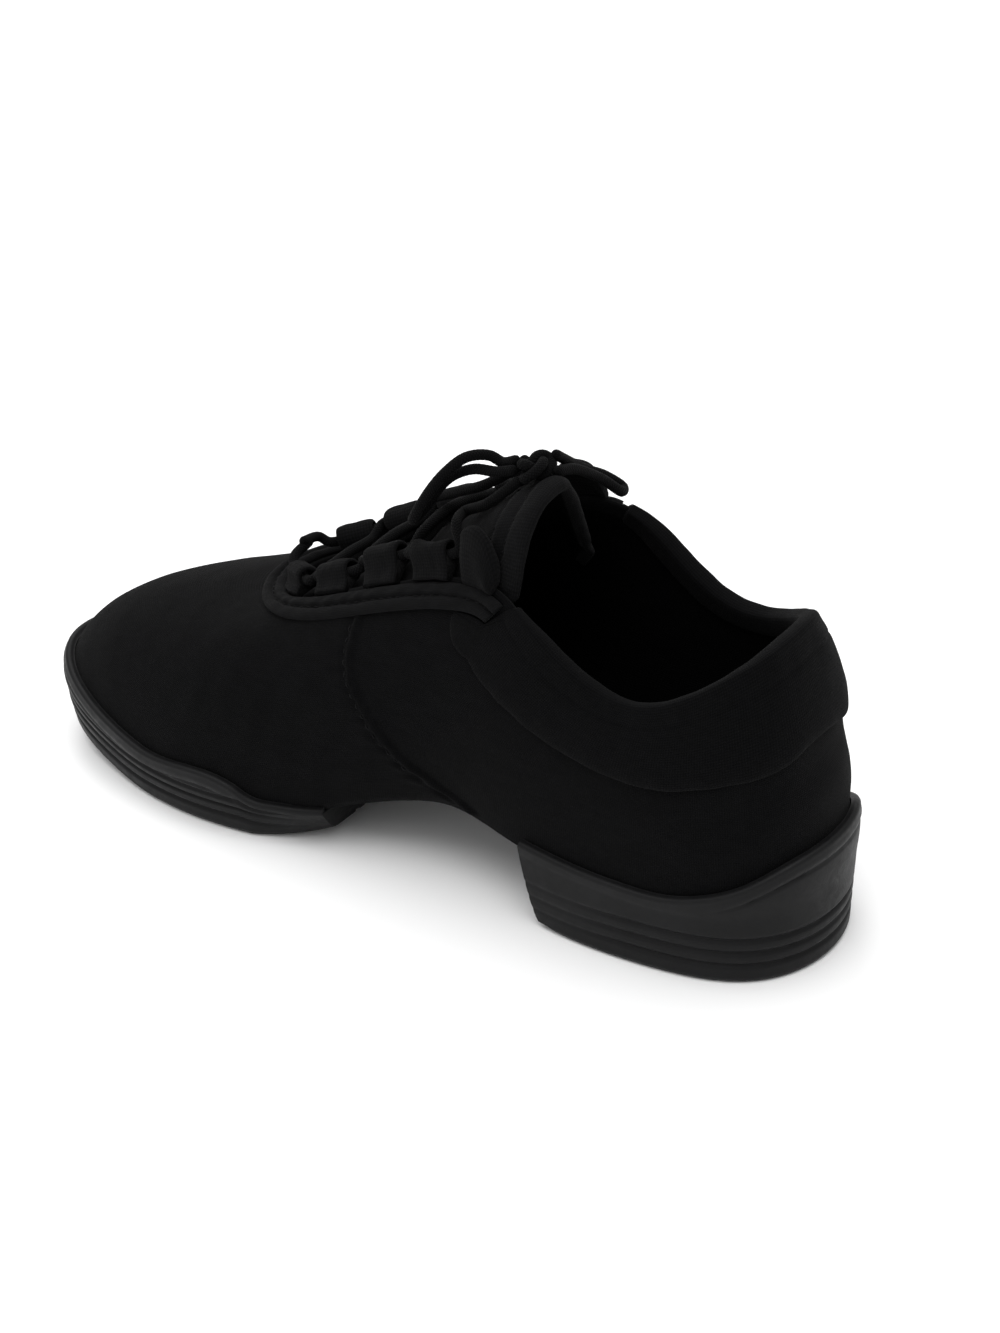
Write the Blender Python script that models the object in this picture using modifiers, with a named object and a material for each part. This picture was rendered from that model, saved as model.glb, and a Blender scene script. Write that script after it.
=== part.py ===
"""Low canvas dance sneaker for the right foot, with a split rubber sole. Metres, +Z up.

+X runs towards the toe and +Y to the shoe's inner side. The origin is on the floor under the heel.
The canvas shell is one surface: round the foot it is set by the ROWS table, and from the sole's edge
up to the collar by a cubic curve in each row. Soles, cuff, eyestay and tabs are cut from that surface.
"""
from collections import namedtuple

import bpy
import bmesh
import numpy as np

# Driving sizes
LENGTH = 0.256
BALL_WIDTH = 0.080
HEEL_WIDTH = 0.061
INSTEP_HEIGHT = 0.096
COLLAR_HEIGHT = 0.089
HEEL_LIFT = 0.020
ARCH_LIFT = 0.023
BALL_LIFT = 0.008
TOE_LIFT = 0.016
HEEL_CENTRE = 0.036
WALL = 0.0018
CLEARANCE = 0.0003

# Sole
RUBBER = 0.0024
HEEL_GUARD = 0.018
TOE_GUARD = 0.012
TOE_SPRING = 0.009
GROOVE_DEPTH = 0.0007
GROOVE_WIDTH = 0.0014
EDGE_ROUND = 0.0018
GROOVES = 3
GROOVE_PITCH = 0.0040
MARGIN = 0.012
INSOLE = 0.003
INSOLE_PLAY = 0.0012
HEEL_FLARE = 0.0015
PAD_FLARE = 0.0012
PAD_TUCK = 0.0060
PAD_RISE = 0.0065
BREAST_SLANT = 0.007
LIP_EASE = 0.15
TOE_CURVE = 1.6
ARCH_CURVE = 2

# Where the treads begin and end, as shares of LENGTH from the heel's back, and as places in the ring
BREAST_FROM = 0.16
HEEL_FRONT = 0.35
PAD_BACK = 0.54
TREAD_BALL = 0.65
TREAD_TOE = 0.80
HEEL_SOLE_END = 3
PAD_START = 5

# Overlays on the canvas
CUFF_HEIGHT = 0.021
CUFF_SWELL = 0.0024
CUFF_ROLL = 0.0034
CUFF_TAPER = 4.1
CUFF_END = 4.5
CUFF_TIP = 4.9
CUFF_CURVE = 2.5
CUFF_SHRINK = 0.55
CUFF_POINT = 0.0015
BUTT = 0.03
EYESTAY_WIDTH = 0.0064
EYESTAY_DROP = 0.0082
EYESTAY_SWELL = 0.0018

# Lace tabs: folded loops of webbing whose tunnels the lace runs through
TAB_WIDTH = 0.0120
TAB_RISE = 0.0060
TAB_LEAN = 20
TAB_WALL = 0.0013
TAB_BORE = 0.0023
TAB_EASE = (.88, 1, .88)
TAB_FOLD = range(-135, 136, 30)
TAB_NECK = .3
EAR_ROUND = 0.0023

# Tongue and lace
TONGUE = 0.0045
TONGUE_TUCK = 0.0075
TONGUE_SHIFT = 0.006
TONGUE_TIP = 0.45
TONGUE_EDGE = 0.5
LACE = 0.0028
LACE_LEAD = 0.0030
LACE_OVER = 0.8
LACE_LEAN = 0.6
LACE_LIFT = 1.8
KNOT_LONG = 0.0115
KNOT_WIDE = 0.009
KNOT_TALL = 0.007
KNOT_RISE = 0.0006
KNOT_UNDER = (.5, .8, -.55)
LOOP_EASE = 0.33
END_EASE = 0.15

# How finely the shell is cut, in places of the ring, and where its underside is closed at the arch
CUT = 0.25
ARCH_FROM = 2.7
ARCH_TO = 5.3
LEVELS = (0, .05, .12, .22, .34, .48, .62, .76, .89, 1)
WELD = 0.00001

# How far round and down from a place in the rim its distance to the canvas is looked for, and how finely
LOOK_ROUND = 1.2
LOOK_DOWN = 0.7
SAMPLES = 61

# The foot's ring of rows. Widths, lifts and heights are shares of the sizes named in the row itself,
# and the x columns are shares of LENGTH, counted from the heel's back. In means the inner side.
Row = namedtuple("Row", "name width height foot_x foot_in foot_out low_out low_up "
                        "high_x high_in high_out high_z top_x top_in top_out top_z out_lift")
ROWS = [
    Row("heel_back", HEEL_WIDTH, COLLAR_HEIGHT,
        .020, 0, 0, .04, .20, .027, .02, .02, .77, .061, .05, .05, 1.01, 0),
    Row("heel_corner", HEEL_WIDTH, COLLAR_HEIGHT,
        .052, .34, .34, .05, .19, .053, .36, .34, .75, .076, .29, .23, .975, 0),
    Row("heel_side", HEEL_WIDTH, COLLAR_HEIGHT,
        .150, .50, .50, .06, .18, .150, .53, .53, .70, .141, .45, .44, .860, 0),
    Row("heel_front", HEEL_WIDTH, COLLAR_HEIGHT,
        .305, .50, .52, .05, .20, .265, .55, .57, .68, .218, .465, .475, .845, .02),
    Row("waist", BALL_WIDTH, INSTEP_HEIGHT,
        .430, .31, .41, .10, .17, .355, .43, .47, .69, .292, .350, .360, .900, .05),
    Row("ball_back", BALL_WIDTH, INSTEP_HEIGHT,
        .562, .41, .50, .09, .20, .460, .43, .48, .72, .365, .300, .300, .985, .03),
    Row("ball", BALL_WIDTH, INSTEP_HEIGHT,
        .720, .495, .51, .08, .19, .594, .44, .39, .67, .500, .270, .260, .860, .01),
    Row("toe_side", BALL_WIDTH, INSTEP_HEIGHT,
        .868, .42, .41, .08, .23, .745, .37, .29, .58, .620, .230, .205, .715, 0),
    Row("toe_front", BALL_WIDTH, INSTEP_HEIGHT,
        .976, .14, .14, .06, .24, .862, .05, .03, .580, .668, 0, 0, .680, 0),
]

# Height of the foot's bed above the floor along the shoe: share of LENGTH, then inner and outer height.
BED = [
    (0.00, 1.00 * HEEL_LIFT, 1.00 * HEEL_LIFT),
    (0.16, 1.00 * HEEL_LIFT, 1.00 * HEEL_LIFT),
    (0.30, 1.10 * HEEL_LIFT, 1.00 * HEEL_LIFT),
    (0.43, 1.00 * ARCH_LIFT, 0.78 * ARCH_LIFT),
    (0.51, 0.78 * ARCH_LIFT, 0.60 * ARCH_LIFT),
    (0.58, 1.50 * BALL_LIFT, 1.25 * BALL_LIFT),
    (0.66, 1.05 * BALL_LIFT, 1.00 * BALL_LIFT),
    (0.76, 1.00 * BALL_LIFT, 1.00 * BALL_LIFT),
    (0.87, 0.70 * TOE_LIFT, 0.70 * TOE_LIFT),
    (0.97, 1.00 * TOE_LIFT, 1.00 * TOE_LIFT),
]

# How far the rubber climbs the canvas above the bed: share of LENGTH, then the climb.
GUARD = [
    (0.00, 1.00 * HEEL_GUARD),
    (0.03, 0.90 * HEEL_GUARD),
    (0.07, 0.55 * HEEL_GUARD),
    (0.12, 0.30 * HEEL_GUARD),
    (0.20, 0.22 * HEEL_GUARD),
    (0.33, 0.22 * HEEL_GUARD),
    (0.55, 0.08 * TOE_GUARD),
    (0.61, 0.28 * TOE_GUARD),
    (0.645, 0.42 * TOE_GUARD),
    (0.670, 0.74 * TOE_GUARD),
    (0.80, 0.76 * TOE_GUARD),
    (0.90, 0.85 * TOE_GUARD),
    (1.00, 1.00 * TOE_GUARD),
]

# The cuff's depth: place in the ring, counted either way from the heel, then a share of CUFF_HEIGHT.
CUFF_DEPTH = [(0, 1.2), (.5, 1.26), (1, 1.18), (1.5, 1), (2, .92), (2.5, .85), (3, .92), (3.5, 1)]

# The cuff's outer face: depth below the rim as a share of CUFF_HEIGHT, then a share of CUFF_SWELL.
CUFF_FACE = [(1, 0), (1, .35), (.86, .8), (.6, 1), (.3, .95), (.08, .75)]

# The cuff's roll over the rim: rise and reach as shares of CUFF_ROLL, and the face it is counted from:
# 1 the canvas's outer face, 0 the middle of its wall, -1 its inner face.
CUFF_OVER = [(.45, .34, 1), (.60, 0, 0), (.30, .35, -1), (-.50, .45, -1), (-1.40, .40, -1), (-1.40, 0, -1)]

# The eyestay's section: share of its width from its lower edge, then a share of EYESTAY_SWELL.
EYESTAY_FACE = [(0, 0), (0, .6), (.12, 1), (.38, 1), (.50, .5), (.62, .95), (.88, .95), (1, .5), (1, 0),
                (.5, 0)]

# The tabs from toe to heel: place in the ring, the tunnel's rise above the rim on the inner and on the
# outer side as shares of TAB_RISE, the tab's width as a share of TAB_WIDTH and its lean out of the canvas
# as a share of TAB_LEAN. The ear behind them has no tunnel.
Tab = namedtuple("Tab", "place rise_in rise_out width lean")
TABS = [
    Tab(7.12, 1.00, 1.25, 0.90, 2.4),
    Tab(6.45, 1.00, 1.45, 1.00, 1.8),
    Tab(5.95, 1.25, 1.40, 1.00, 1.3),
    Tab(5.47, 1.10, 0.98, 1.05, 1.3),
]
EAR = Tab(4.91, 1.85, 1.40, 1.05, 1.3)

# The ear's height along its width, front to back, as shares of its full rise.
EAR_TOP = (1, .96, .55)

# The tongue from front to top: place in the ring, crown as a share of INSTEP_HEIGHT, how far the crown
# leans back as a share of LENGTH, how full its arch is on the inner side and how fast it falls on the
# outer side.
TongueRow = namedtuple("TongueRow", "place crown back full fall")
TONGUE_ROWS = [
    TongueRow(7.30, 0.000, 0.000, 2.0, 1.00),
    TongueRow(7.00, 0.024, 0.000, 2.0, 1.00),
    TongueRow(6.50, 0.052, 0.000, 2.0, 1.00),
    TongueRow(6.00, 0.074, 0.000, 2.0, 1.00),
    TongueRow(5.50, 0.130, 0.000, 1.6, 1.05),
    TongueRow(5.25, 0.175, 0.002, 2.0, 1.10),
    TongueRow(5.00, 0.215, 0.007, 2.7, 1.20),
    TongueRow(4.80, 0.247, 0.012, 3.0, 1.28),
    TongueRow(4.63, 0.271, 0.014, 3.2, 1.35),
]

# The lace on its way from the last tabs to the knot: how far ahead of the tab's mouth and how far above
# the tongue it passes, as shares of LACE.
LACE_LAST = [(2, 1.7), (-1, 1.0)]

# The bow's loops and ends: steps forward, to the inner side and up from the knot's middle, as shares of
# LENGTH. Each begins at the knot's face, and a loop also ends there.
LOOP_NEAR = [(.021, .003, .003), (.039, .001, -.004), (.052, .005, .002), (.067, .023, .004),
             (.083, .039, -.011), (.098, .050, -.034), (.110, .058, -.059), (.117, .048, -.066),
             (.107, .038, -.052), (.098, .030, -.035), (.085, .023, -.021), (.065, .015, -.012),
             (.038, .013, -.009), (.018, .011, -.003)]
LOOP_FAR = [(-.008, -.022, .005), (-.006, -.043, -.009), (-.003, -.061, -.022), (-.006, -.080, -.036),
            (-.015, -.098, -.048), (-.029, -.109, -.062), (-.035, -.098, -.061), (-.027, -.079, -.042),
            (-.023, -.058, -.026), (-.022, -.034, -.011), (-.018, -.009, -.003)]
END_NEAR = [(.018, -.008, -.001), (.038, -.010, -.019), (.069, -.006, -.040), (.104, -.010, -.058),
            (.136, -.018, -.075), (.159, -.026, -.088)]
END_FAR = [(.003, -.023, -.008), (.013, -.046, -.019), (.034, -.073, -.036), (.050, -.100, -.057),
           (.054, -.123, -.082), (.057, -.145, -.112), (.063, -.161, -.139)]

# Places round the foot on one side and in all, points across the tongue: in all, at its middle and
# between that and the inner side, and the rows over which its front end grows thick.
SIDES = len(ROWS) - 1
TURN = 2 * SIDES
ACROSS = 13
MIDDLE = 6
HALF_WAY = 5
TONGUE_TAPER = 4


def along(share):
    """x of a place given as a share of the length from the heel's back."""
    return np.asarray(share) * LENGTH - HEEL_CENTRE


def closed_curve(points, u):
    """Smooth closed curve that passes points[0] at u = 0, points[1] at u = 1 and so on."""
    n = len(points)
    matrix = np.zeros((n, n))
    for i in range(n):
        matrix[i, i] = 4 / 6
        matrix[i, (i + 1) % n] = 1 / 6
        matrix[i, (i - 1) % n] = 1 / 6
    pulls = np.linalg.solve(matrix, np.asarray(points, float))
    whole = np.floor(u).astype(int)
    t = (u - whole)[:, None]
    a, b, c, d = [pulls[(whole + k) % n] for k in (-1, 0, 1, 2)]
    ends = (1 - t) ** 3 * a + t ** 3 * d
    middle = (3 * t ** 3 - 6 * t ** 2 + 4) * b + (-3 * t ** 3 + 3 * t ** 2 + 3 * t + 1) * c
    return (ends + middle) / 6


def smooth_steps(table, column, x):
    """Value of a table's column at x, eased between its rows."""
    places = np.array([along(row[0]) for row in table])
    values = np.array([row[column] for row in table])
    slopes = np.gradient(values, places)
    k = np.clip(np.searchsorted(places, x) - 1, 0, len(places) - 2)
    gap = places[k + 1] - places[k]
    t = np.clip((x - places[k]) / gap, 0, 1)
    start = (1 + 2 * t) * (1 - t) ** 2 * values[k] + t * (1 - t) ** 2 * gap * slopes[k]
    end = t ** 2 * (3 - 2 * t) * values[k + 1] + t ** 2 * (t - 1) * gap * slopes[k + 1]
    return start + end


def bed(x, y):
    """Height of the foot's bed, which leans from the inner to the outer side."""
    inner = smooth_steps(BED, 1, x)
    outer = smooth_steps(BED, 2, x)
    share = np.clip(0.5 + y / BALL_WIDTH, 0, 1)
    return outer + (inner - outer) * share ** 2 * (3 - 2 * share)


def ring_points():
    """The table's rows once round the foot: heel, inner side, toe, outer side."""
    foot, low, high, top = [], [], [], []
    order = [(i, 1) for i in range(SIDES + 1)] + [(i, -1) for i in range(SIDES - 1, 0, -1)]
    for i, side in order:
        row = ROWS[i]
        foot_y = row.foot_in if side > 0 else row.foot_out
        high_y = row.high_in if side > 0 else row.high_out
        foot.append((along(row.foot_x), side * foot_y * row.width))
        low.append((row.low_out * row.width, row.low_up * row.height))
        high.append((along(row.high_x), side * high_y * row.width, row.high_z * row.height))
        top_y = row.top_in if side > 0 else row.top_out
        top_z = row.top_z if side > 0 else row.top_z + row.out_lift
        top.append((along(row.top_x), side * top_y * row.width, top_z * row.height))
    return foot, low, high, top


FOOT, LOW, HIGH, TOP = ring_points()


def foot_line(u):
    """The canvas's lower edge at u, and the direction straight out from it."""
    step = 0.001
    plan = closed_curve(FOOT, u % TURN)
    run = closed_curve(FOOT, (u + step) % TURN) - closed_curve(FOOT, (u - step) % TURN)
    out = np.stack([-run[:, 1], run[:, 0], 0 * run[:, 0]], 1)
    out /= np.linalg.norm(out, axis=1)[:, None]
    edge = np.column_stack([plan, bed(plan[:, 0], plan[:, 1])])
    return edge, out


def canvas(u, v):
    """Points of the canvas's outer face at matching u, round the foot, and v, from the sole up."""
    u = np.asarray(u, float)
    v = np.asarray(v, float)[:, None]
    edge, out = foot_line(u)
    low = closed_curve(LOW, u % TURN)
    first = edge + out * low[:, :1]
    first[:, 2] += low[:, 1]
    second = closed_curve(HIGH, u % TURN)
    top = closed_curve(TOP, u % TURN)
    return (1 - v) ** 3 * edge + 3 * (1 - v) ** 2 * v * first + 3 * (1 - v) * v ** 2 * second + v ** 3 * top


def skin(u, v, out=0.0):
    """Points that stand out from the canvas's outer face."""
    step = 0.002
    u = np.asarray(u, float) + 0 * np.asarray(v, float)
    v = np.asarray(v, float) + 0 * u
    around = canvas(u + step, v) - canvas(u - step, v)
    up = canvas(u, v + step) - canvas(u, v - step)
    normal = np.cross(up, around)
    normal /= np.linalg.norm(normal, axis=1)[:, None]
    return canvas(u, v) + normal * np.reshape(out, (-1, 1))


def share_at_height(u, height):
    """How far up the canvas, 0 to 1, it reaches a height above the floor."""
    samples = np.linspace(0, 1, SAMPLES)
    shares = []
    for one, level in zip(u, height):
        z = canvas(np.full(len(samples), one), samples)[:, 2]
        shares.append(np.interp(level, np.maximum.accumulate(z), samples))
    return np.array(shares)


def share_below_top(u, distance):
    """How far up the canvas, 0 to 1, it lies a distance from its top edge."""
    samples = np.linspace(1 - LOOK_DOWN, 1, SAMPLES)
    shares = []
    for one, length in zip(u, np.broadcast_to(distance, np.shape(u))):
        line = canvas(np.full(len(samples), one), samples)
        near = one + np.linspace(-LOOK_ROUND, LOOK_ROUND, SAMPLES)
        edge = canvas(near, np.ones(len(near)))
        gaps = np.linalg.norm(line[:, None] - edge[None], axis=2).min(1)
        gaps[-1] = 0
        shares.append(np.interp(-length, -np.maximum.accumulate(gaps[::-1])[::-1], samples))
    return np.array(shares)


def look(name, colour, roughness):
    """A plain material."""
    material = bpy.data.materials.new(name)
    material.use_nodes = True
    shader = material.node_tree.nodes["Principled BSDF"]
    shader.inputs["Base Color"].default_value = (*colour, 1)
    shader.inputs["Roughness"].default_value = roughness
    shader.inputs["Metallic"].default_value = 0
    material.diffuse_color = (*colour, 1)
    return material


def add_mesh(name, mesh, material, collection):
    """Object made from a bmesh, which this frees."""
    data = bpy.data.meshes.new(name)
    mesh.to_mesh(data)
    mesh.free()
    data.materials.append(material)
    piece = bpy.data.objects.new(name, data)
    collection.objects.link(piece)
    return piece


def loft(sections, capped=False):
    """Closed body through sections that are closed outlines with as many points each."""
    mesh = bmesh.new()
    rings = [[mesh.verts.new(point) for point in section] for section in sections]
    for ring, after in zip(rings, rings[1:]):
        for j in range(len(ring)):
            k = (j + 1) % len(ring)
            mesh.faces.new((ring[j], ring[k], after[k], after[j]))
    if capped:
        for ring in (rings[0], rings[-1]):
            mesh.faces.new(ring)
    bmesh.ops.remove_doubles(mesh, verts=mesh.verts, dist=WELD)
    loose = [edge for edge in mesh.edges if edge.is_boundary]
    if loose:
        bmesh.ops.holes_fill(mesh, edges=loose, sides=0)
    bmesh.ops.recalc_face_normals(mesh, faces=mesh.faces)
    return mesh


def make_upper(collection, material):
    """The canvas shell: its sides, the margin under the sole and the closed underside of the arch."""
    u = np.arange(0, TURN, CUT)
    rows = [canvas(u, np.full(len(u), level)) for level in LEVELS]
    edge, out = foot_line(u)
    other = foot_line((TURN - u) % TURN)[0]
    station = np.minimum(u, TURN - u)
    closed = (station > ARCH_FROM) & (station < ARCH_TO)
    for reach in (0.5, 1.0):
        under = edge - out * MARGIN * reach
        under[closed] = edge[closed] + (other[closed] - edge[closed]) * reach / 2
        under[:, 2] = bed(under[:, 0], under[:, 1])
        rows.insert(0, under)
    mesh = bmesh.new()
    verts = [[mesh.verts.new(point) for point in row] for row in rows]
    for row, above in zip(verts, verts[1:]):
        for i in range(len(u)):
            k = (i + 1) % len(u)
            mesh.faces.new((row[i], above[i], above[k], row[k]))
    bmesh.ops.remove_doubles(mesh, verts=mesh.verts, dist=WELD)
    piece = add_mesh("upper", mesh, material, collection)
    shell = piece.modifiers.new("wall", "SOLIDIFY")
    shell.thickness = WALL
    shell.offset = -1
    shell.use_even_offset = True
    return piece


def floor_height(x):
    """Height of the tread above the floor: flat under heel and ball, rising at the toe and at the arch."""
    toe = np.clip((x - along(TREAD_TOE)) / (along(1.0) - along(TREAD_TOE)), 0, 1)
    arch = np.clip((along(TREAD_BALL) - x) / (along(TREAD_BALL) - along(PAD_BACK)), 0, 1)
    arch = np.where(x > along(HEEL_FRONT), arch, 0)
    return TOE_SPRING * toe ** TOE_CURVE + PAD_RISE * arch ** ARCH_CURVE


def sole_side(u, flare, lean):
    """Half an outline of the sole at each u, from the top of its inner face out, down and under."""
    edge, out = foot_line(u)
    climb = smooth_steps(GUARD, 1, edge[:, 0])
    top = share_at_height(u, edge[:, 2] + climb)
    ground = edge + out * flare[:, None]
    ground[:, 0] += lean
    ground[:, 2] = floor_height(ground[:, 0])
    sill = edge + out * (CLEARANCE + RUBBER)
    lip = skin(u, top, CLEARANCE + RUBBER)
    rows = [
        edge + out * CLEARANCE - [0, 0, CLEARANCE],
        skin(u, top / 3, CLEARANCE),
        skin(u, top * 2 / 3, CLEARANCE),
        skin(u, top, CLEARANCE),
        skin(u, top, CLEARANCE + RUBBER * (1 - 2 * LIP_EASE)),
        lip + (sill - lip) * LIP_EASE,
    ]
    wall = lip[:, 2] - ground[:, 2]
    fade = np.clip(wall / (GROOVES * GROOVE_PITCH + 2 * EDGE_ROUND), 0, 1)
    for k in range(GROOVES, 0, -1):
        for step, depth in ((0.5, 0), (0, 1), (-0.5, 0)):
            height = (k * GROOVE_PITCH + EDGE_ROUND + step * GROOVE_WIDTH) * fade
            rise = np.maximum(edge[:, 2] - ground[:, 2], CLEARANCE)
            share = np.clip(height / rise, 0, 1)[:, None]
            over = np.clip((height - rise) / np.maximum(climb, CLEARANCE), 0, 1 - LIP_EASE)[:, None]
            point = ground + (sill - ground) * share
            point = point + (lip - sill) * over
            point = point - out * (depth * GROOVE_DEPTH * fade ** 2)[:, None]
            rows.append(point)
    rows.append(ground + [0, 0, EDGE_ROUND])
    rows.append(ground - out * EDGE_ROUND)
    return np.stack(rows, 1)


def sole(u, flare, lean):
    """Closed outlines of a sole, one at each u, from the inner side across to the outer side."""
    inner = sole_side(u, flare, lean)
    outer = sole_side((TURN - u) % TURN, flare, lean)
    across = []
    for share in (0.3, 0.7):
        under = inner[:, -1] + (outer[:, -1] - inner[:, -1]) * share
        under[:, 2] = floor_height(under[:, 0])
        across.append(under)
    back = []
    for share in (0.75, 0.5, 0.25):
        over = inner[:, 0] + (outer[:, 0] - inner[:, 0]) * share
        over[:, 2] = bed(over[:, 0], over[:, 1]) - CLEARANCE
        back.append(over)
    return np.concatenate([inner, np.stack(across, 1), outer[:, ::-1], np.stack(back, 1)], 1)


def make_soles(collection, material):
    """The rubber under the heel and the rubber under the forefoot."""
    u = np.arange(0, HEEL_SOLE_END + CUT / 2, CUT)
    x = foot_line(u)[0][:, 0]
    front = np.clip((x - along(BREAST_FROM)) / (x[-1] - along(BREAST_FROM)), 0, 1)
    lean = -BREAST_SLANT * front ** 2
    heel = loft(sole(u, np.full(len(u), HEEL_FLARE), lean), True)
    add_mesh("heel_sole", heel, material, collection)
    u = np.arange(PAD_START, SIDES + CUT / 2, CUT)
    x = foot_line(u)[0][:, 0]
    tuck = np.clip((along(TREAD_BALL) - x) / (along(TREAD_BALL) - x[0]), 0, 1)
    pad = loft(sole(u, PAD_FLARE - PAD_TUCK * tuck, 0 * u), True)
    add_mesh("forefoot_sole", pad, material, collection)


def make_insole(collection, material):
    """The footbed: a plate that lies on the margin, inside the wall."""
    heel = np.arange(CUT, ARCH_FROM, 2 * CUT)
    arch = np.arange(heel[-1] + 2 * CUT, ARCH_TO, CUT)
    ball = np.arange(arch[-1] + CUT, SIDES - CUT, 2 * CUT)
    u = np.concatenate([[0], heel, arch, ball, [SIDES - CUT, SIDES]])
    inner, inward = foot_line(u)
    outer, outward = foot_line((TURN - u) % TURN)
    inset = WALL + INSOLE_PLAY
    start = inner - inward * inset
    end = outer - outward * inset
    sections = []
    for share in (0, .25, .5, .75, 1):
        line = start + (end - start) * share
        line[:, 2] = bed(line[:, 0], line[:, 1]) + WALL + CLEARANCE
        sections.append(line)
    under = np.stack(sections, 1)
    over = under[:, ::-1] + [0, 0, INSOLE]
    add_mesh("insole", loft(np.concatenate([under, over], 1)), material, collection)


def rim(u):
    """The canvas's top edge at u, and the directions straight up from it and out of the canvas."""
    step = 0.01
    whole = np.ones(len(u))
    edge = canvas(u, whole)
    out = skin(u, whole, 1.0) - edge
    up = np.cross(canvas(u + step, whole) - canvas(u - step, whole), out)
    return edge, up / np.linalg.norm(up, axis=1)[:, None], out


def cuff_face(u, start, swell):
    """The cuff's outer face at each u, from its lower edge up to a distance from the rim."""
    taper = np.clip((np.abs(u) - CUFF_TAPER) / (CUFF_TIP - CUFF_TAPER), 0, 1) ** CUFF_CURVE
    depth = CUFF_HEIGHT * np.interp(np.abs(u), *zip(*CUFF_DEPTH))
    depth += (EYESTAY_DROP + CUFF_POINT - depth) * taper
    rows = []
    for share, height in CUFF_FACE:
        below = start + (depth - start) * share
        rows.append(skin(u, share_below_top(u, below), CLEARANCE + swell * height))
    return np.stack(rows, 1)


def make_cuff(collection, material):
    """The padded collar: a swollen band on the canvas, rolled over its top edge."""
    u = np.arange(-CUFF_END, CUFF_END + CUT / 2, CUT)
    near_end = np.clip((np.abs(u) - CUFF_TAPER) / (CUFF_END - CUFF_TAPER), 0, 1)
    full = 1 - CUFF_SHRINK * near_end ** 2
    rolled = [cuff_face(u, 0, CUFF_SWELL * full)]
    edge, up, out = rim(u)
    faces = {1: CLEARANCE, 0: -WALL / 2, -1: -WALL - CLEARANCE}
    for rise, reach, face in CUFF_OVER:
        stand = (faces[face] + face * reach * CUFF_ROLL * full)[:, None]
        if rise < 0:
            point = skin(u, share_below_top(u, -rise * CUFF_ROLL), stand[:, 0])
        else:
            point = edge + up * rise * CUFF_ROLL * full[:, None] + out * stand
        rolled.append(point[:, None])
    for face in (-1, 1):
        rolled.append((edge + up * CLEARANCE + out * faces[face])[:, None])
    rolled.append(skin(u, share_below_top(u, CUFF_HEIGHT / 2), CLEARANCE)[:, None])
    rolled = np.concatenate(rolled, 1)
    # The roll ends in a flat face; ahead of it only the band goes on, outside the canvas.
    over = len(CUFF_FACE) + 1
    corner = len(CUFF_FACE) + len(CUFF_OVER)
    fronts = {}
    for side, last in ((-1, rolled[0]), (1, rolled[-1])):
        inside = last.copy()
        inside[over + 1:corner] = last[corner]
        outside = last.copy()
        outside[over:corner + 1] = last[corner + 1]
        flat = side * np.array([CUFF_END + BUTT, CUFF_END + CUT, CUFF_TIP])
        start = EYESTAY_DROP + CLEARANCE
        band = cuff_face(flat, start, CUFF_SWELL * (1 - CUFF_SHRINK))
        butt = skin(flat, share_below_top(flat, start), CLEARANCE)
        under = (band[:, 0] + butt) / 2
        rest = np.repeat(butt[:, None], rolled.shape[1] - band.shape[1] - 1, 1)
        fronts[side] = [inside, outside, *np.concatenate([band, rest, under[:, None]], 1)]
    add_mesh("collar_cuff", loft([*fronts[-1][::-1], *rolled, *fronts[1]], True), material, collection)


def make_eyestay(collection, material):
    """The band round the throat: two ridges with a groove between them."""
    end = CUFF_END + 2 * BUTT
    u = np.concatenate([[end], np.arange(CUFF_END + CUT, TURN - CUFF_END, CUT), [TURN - end]])
    rows = []
    for share, height in EYESTAY_FACE:
        place = share_below_top(u, EYESTAY_DROP - share * EYESTAY_WIDTH)
        rows.append(skin(u, place, CLEARANCE + EYESTAY_SWELL * height))
    add_mesh("eyestay", loft(np.stack(rows, 1), True), material, collection)


def tab_frame(tab, side):
    """Middles of a tab's tunnel at its three sections, front to back, with the plane of each section."""
    place = tab.place if side > 0 else TURN - tab.place
    per_metre = 2 * CUT / np.linalg.norm(np.diff(rim(np.array([place - CUT, place + CUT]))[0], axis=0))
    half = TAB_WIDTH * tab.width / 2 * per_metre
    u = np.array([place + half, place, place - half])[::side]
    edge, up, out = rim(u)
    lean = np.radians(TAB_LEAN * tab.lean)
    rise = TAB_RISE * (tab.rise_in if side > 0 else tab.rise_out)
    centre = edge[1] + (up[1] * np.cos(lean) + out[1] * np.sin(lean)) * rise
    run = (edge[2] - edge[0]) / np.linalg.norm(edge[2] - edge[0])
    middle = centre + ((edge - edge[1]) @ run)[:, None] * run
    return middle, edge, up, out


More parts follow.
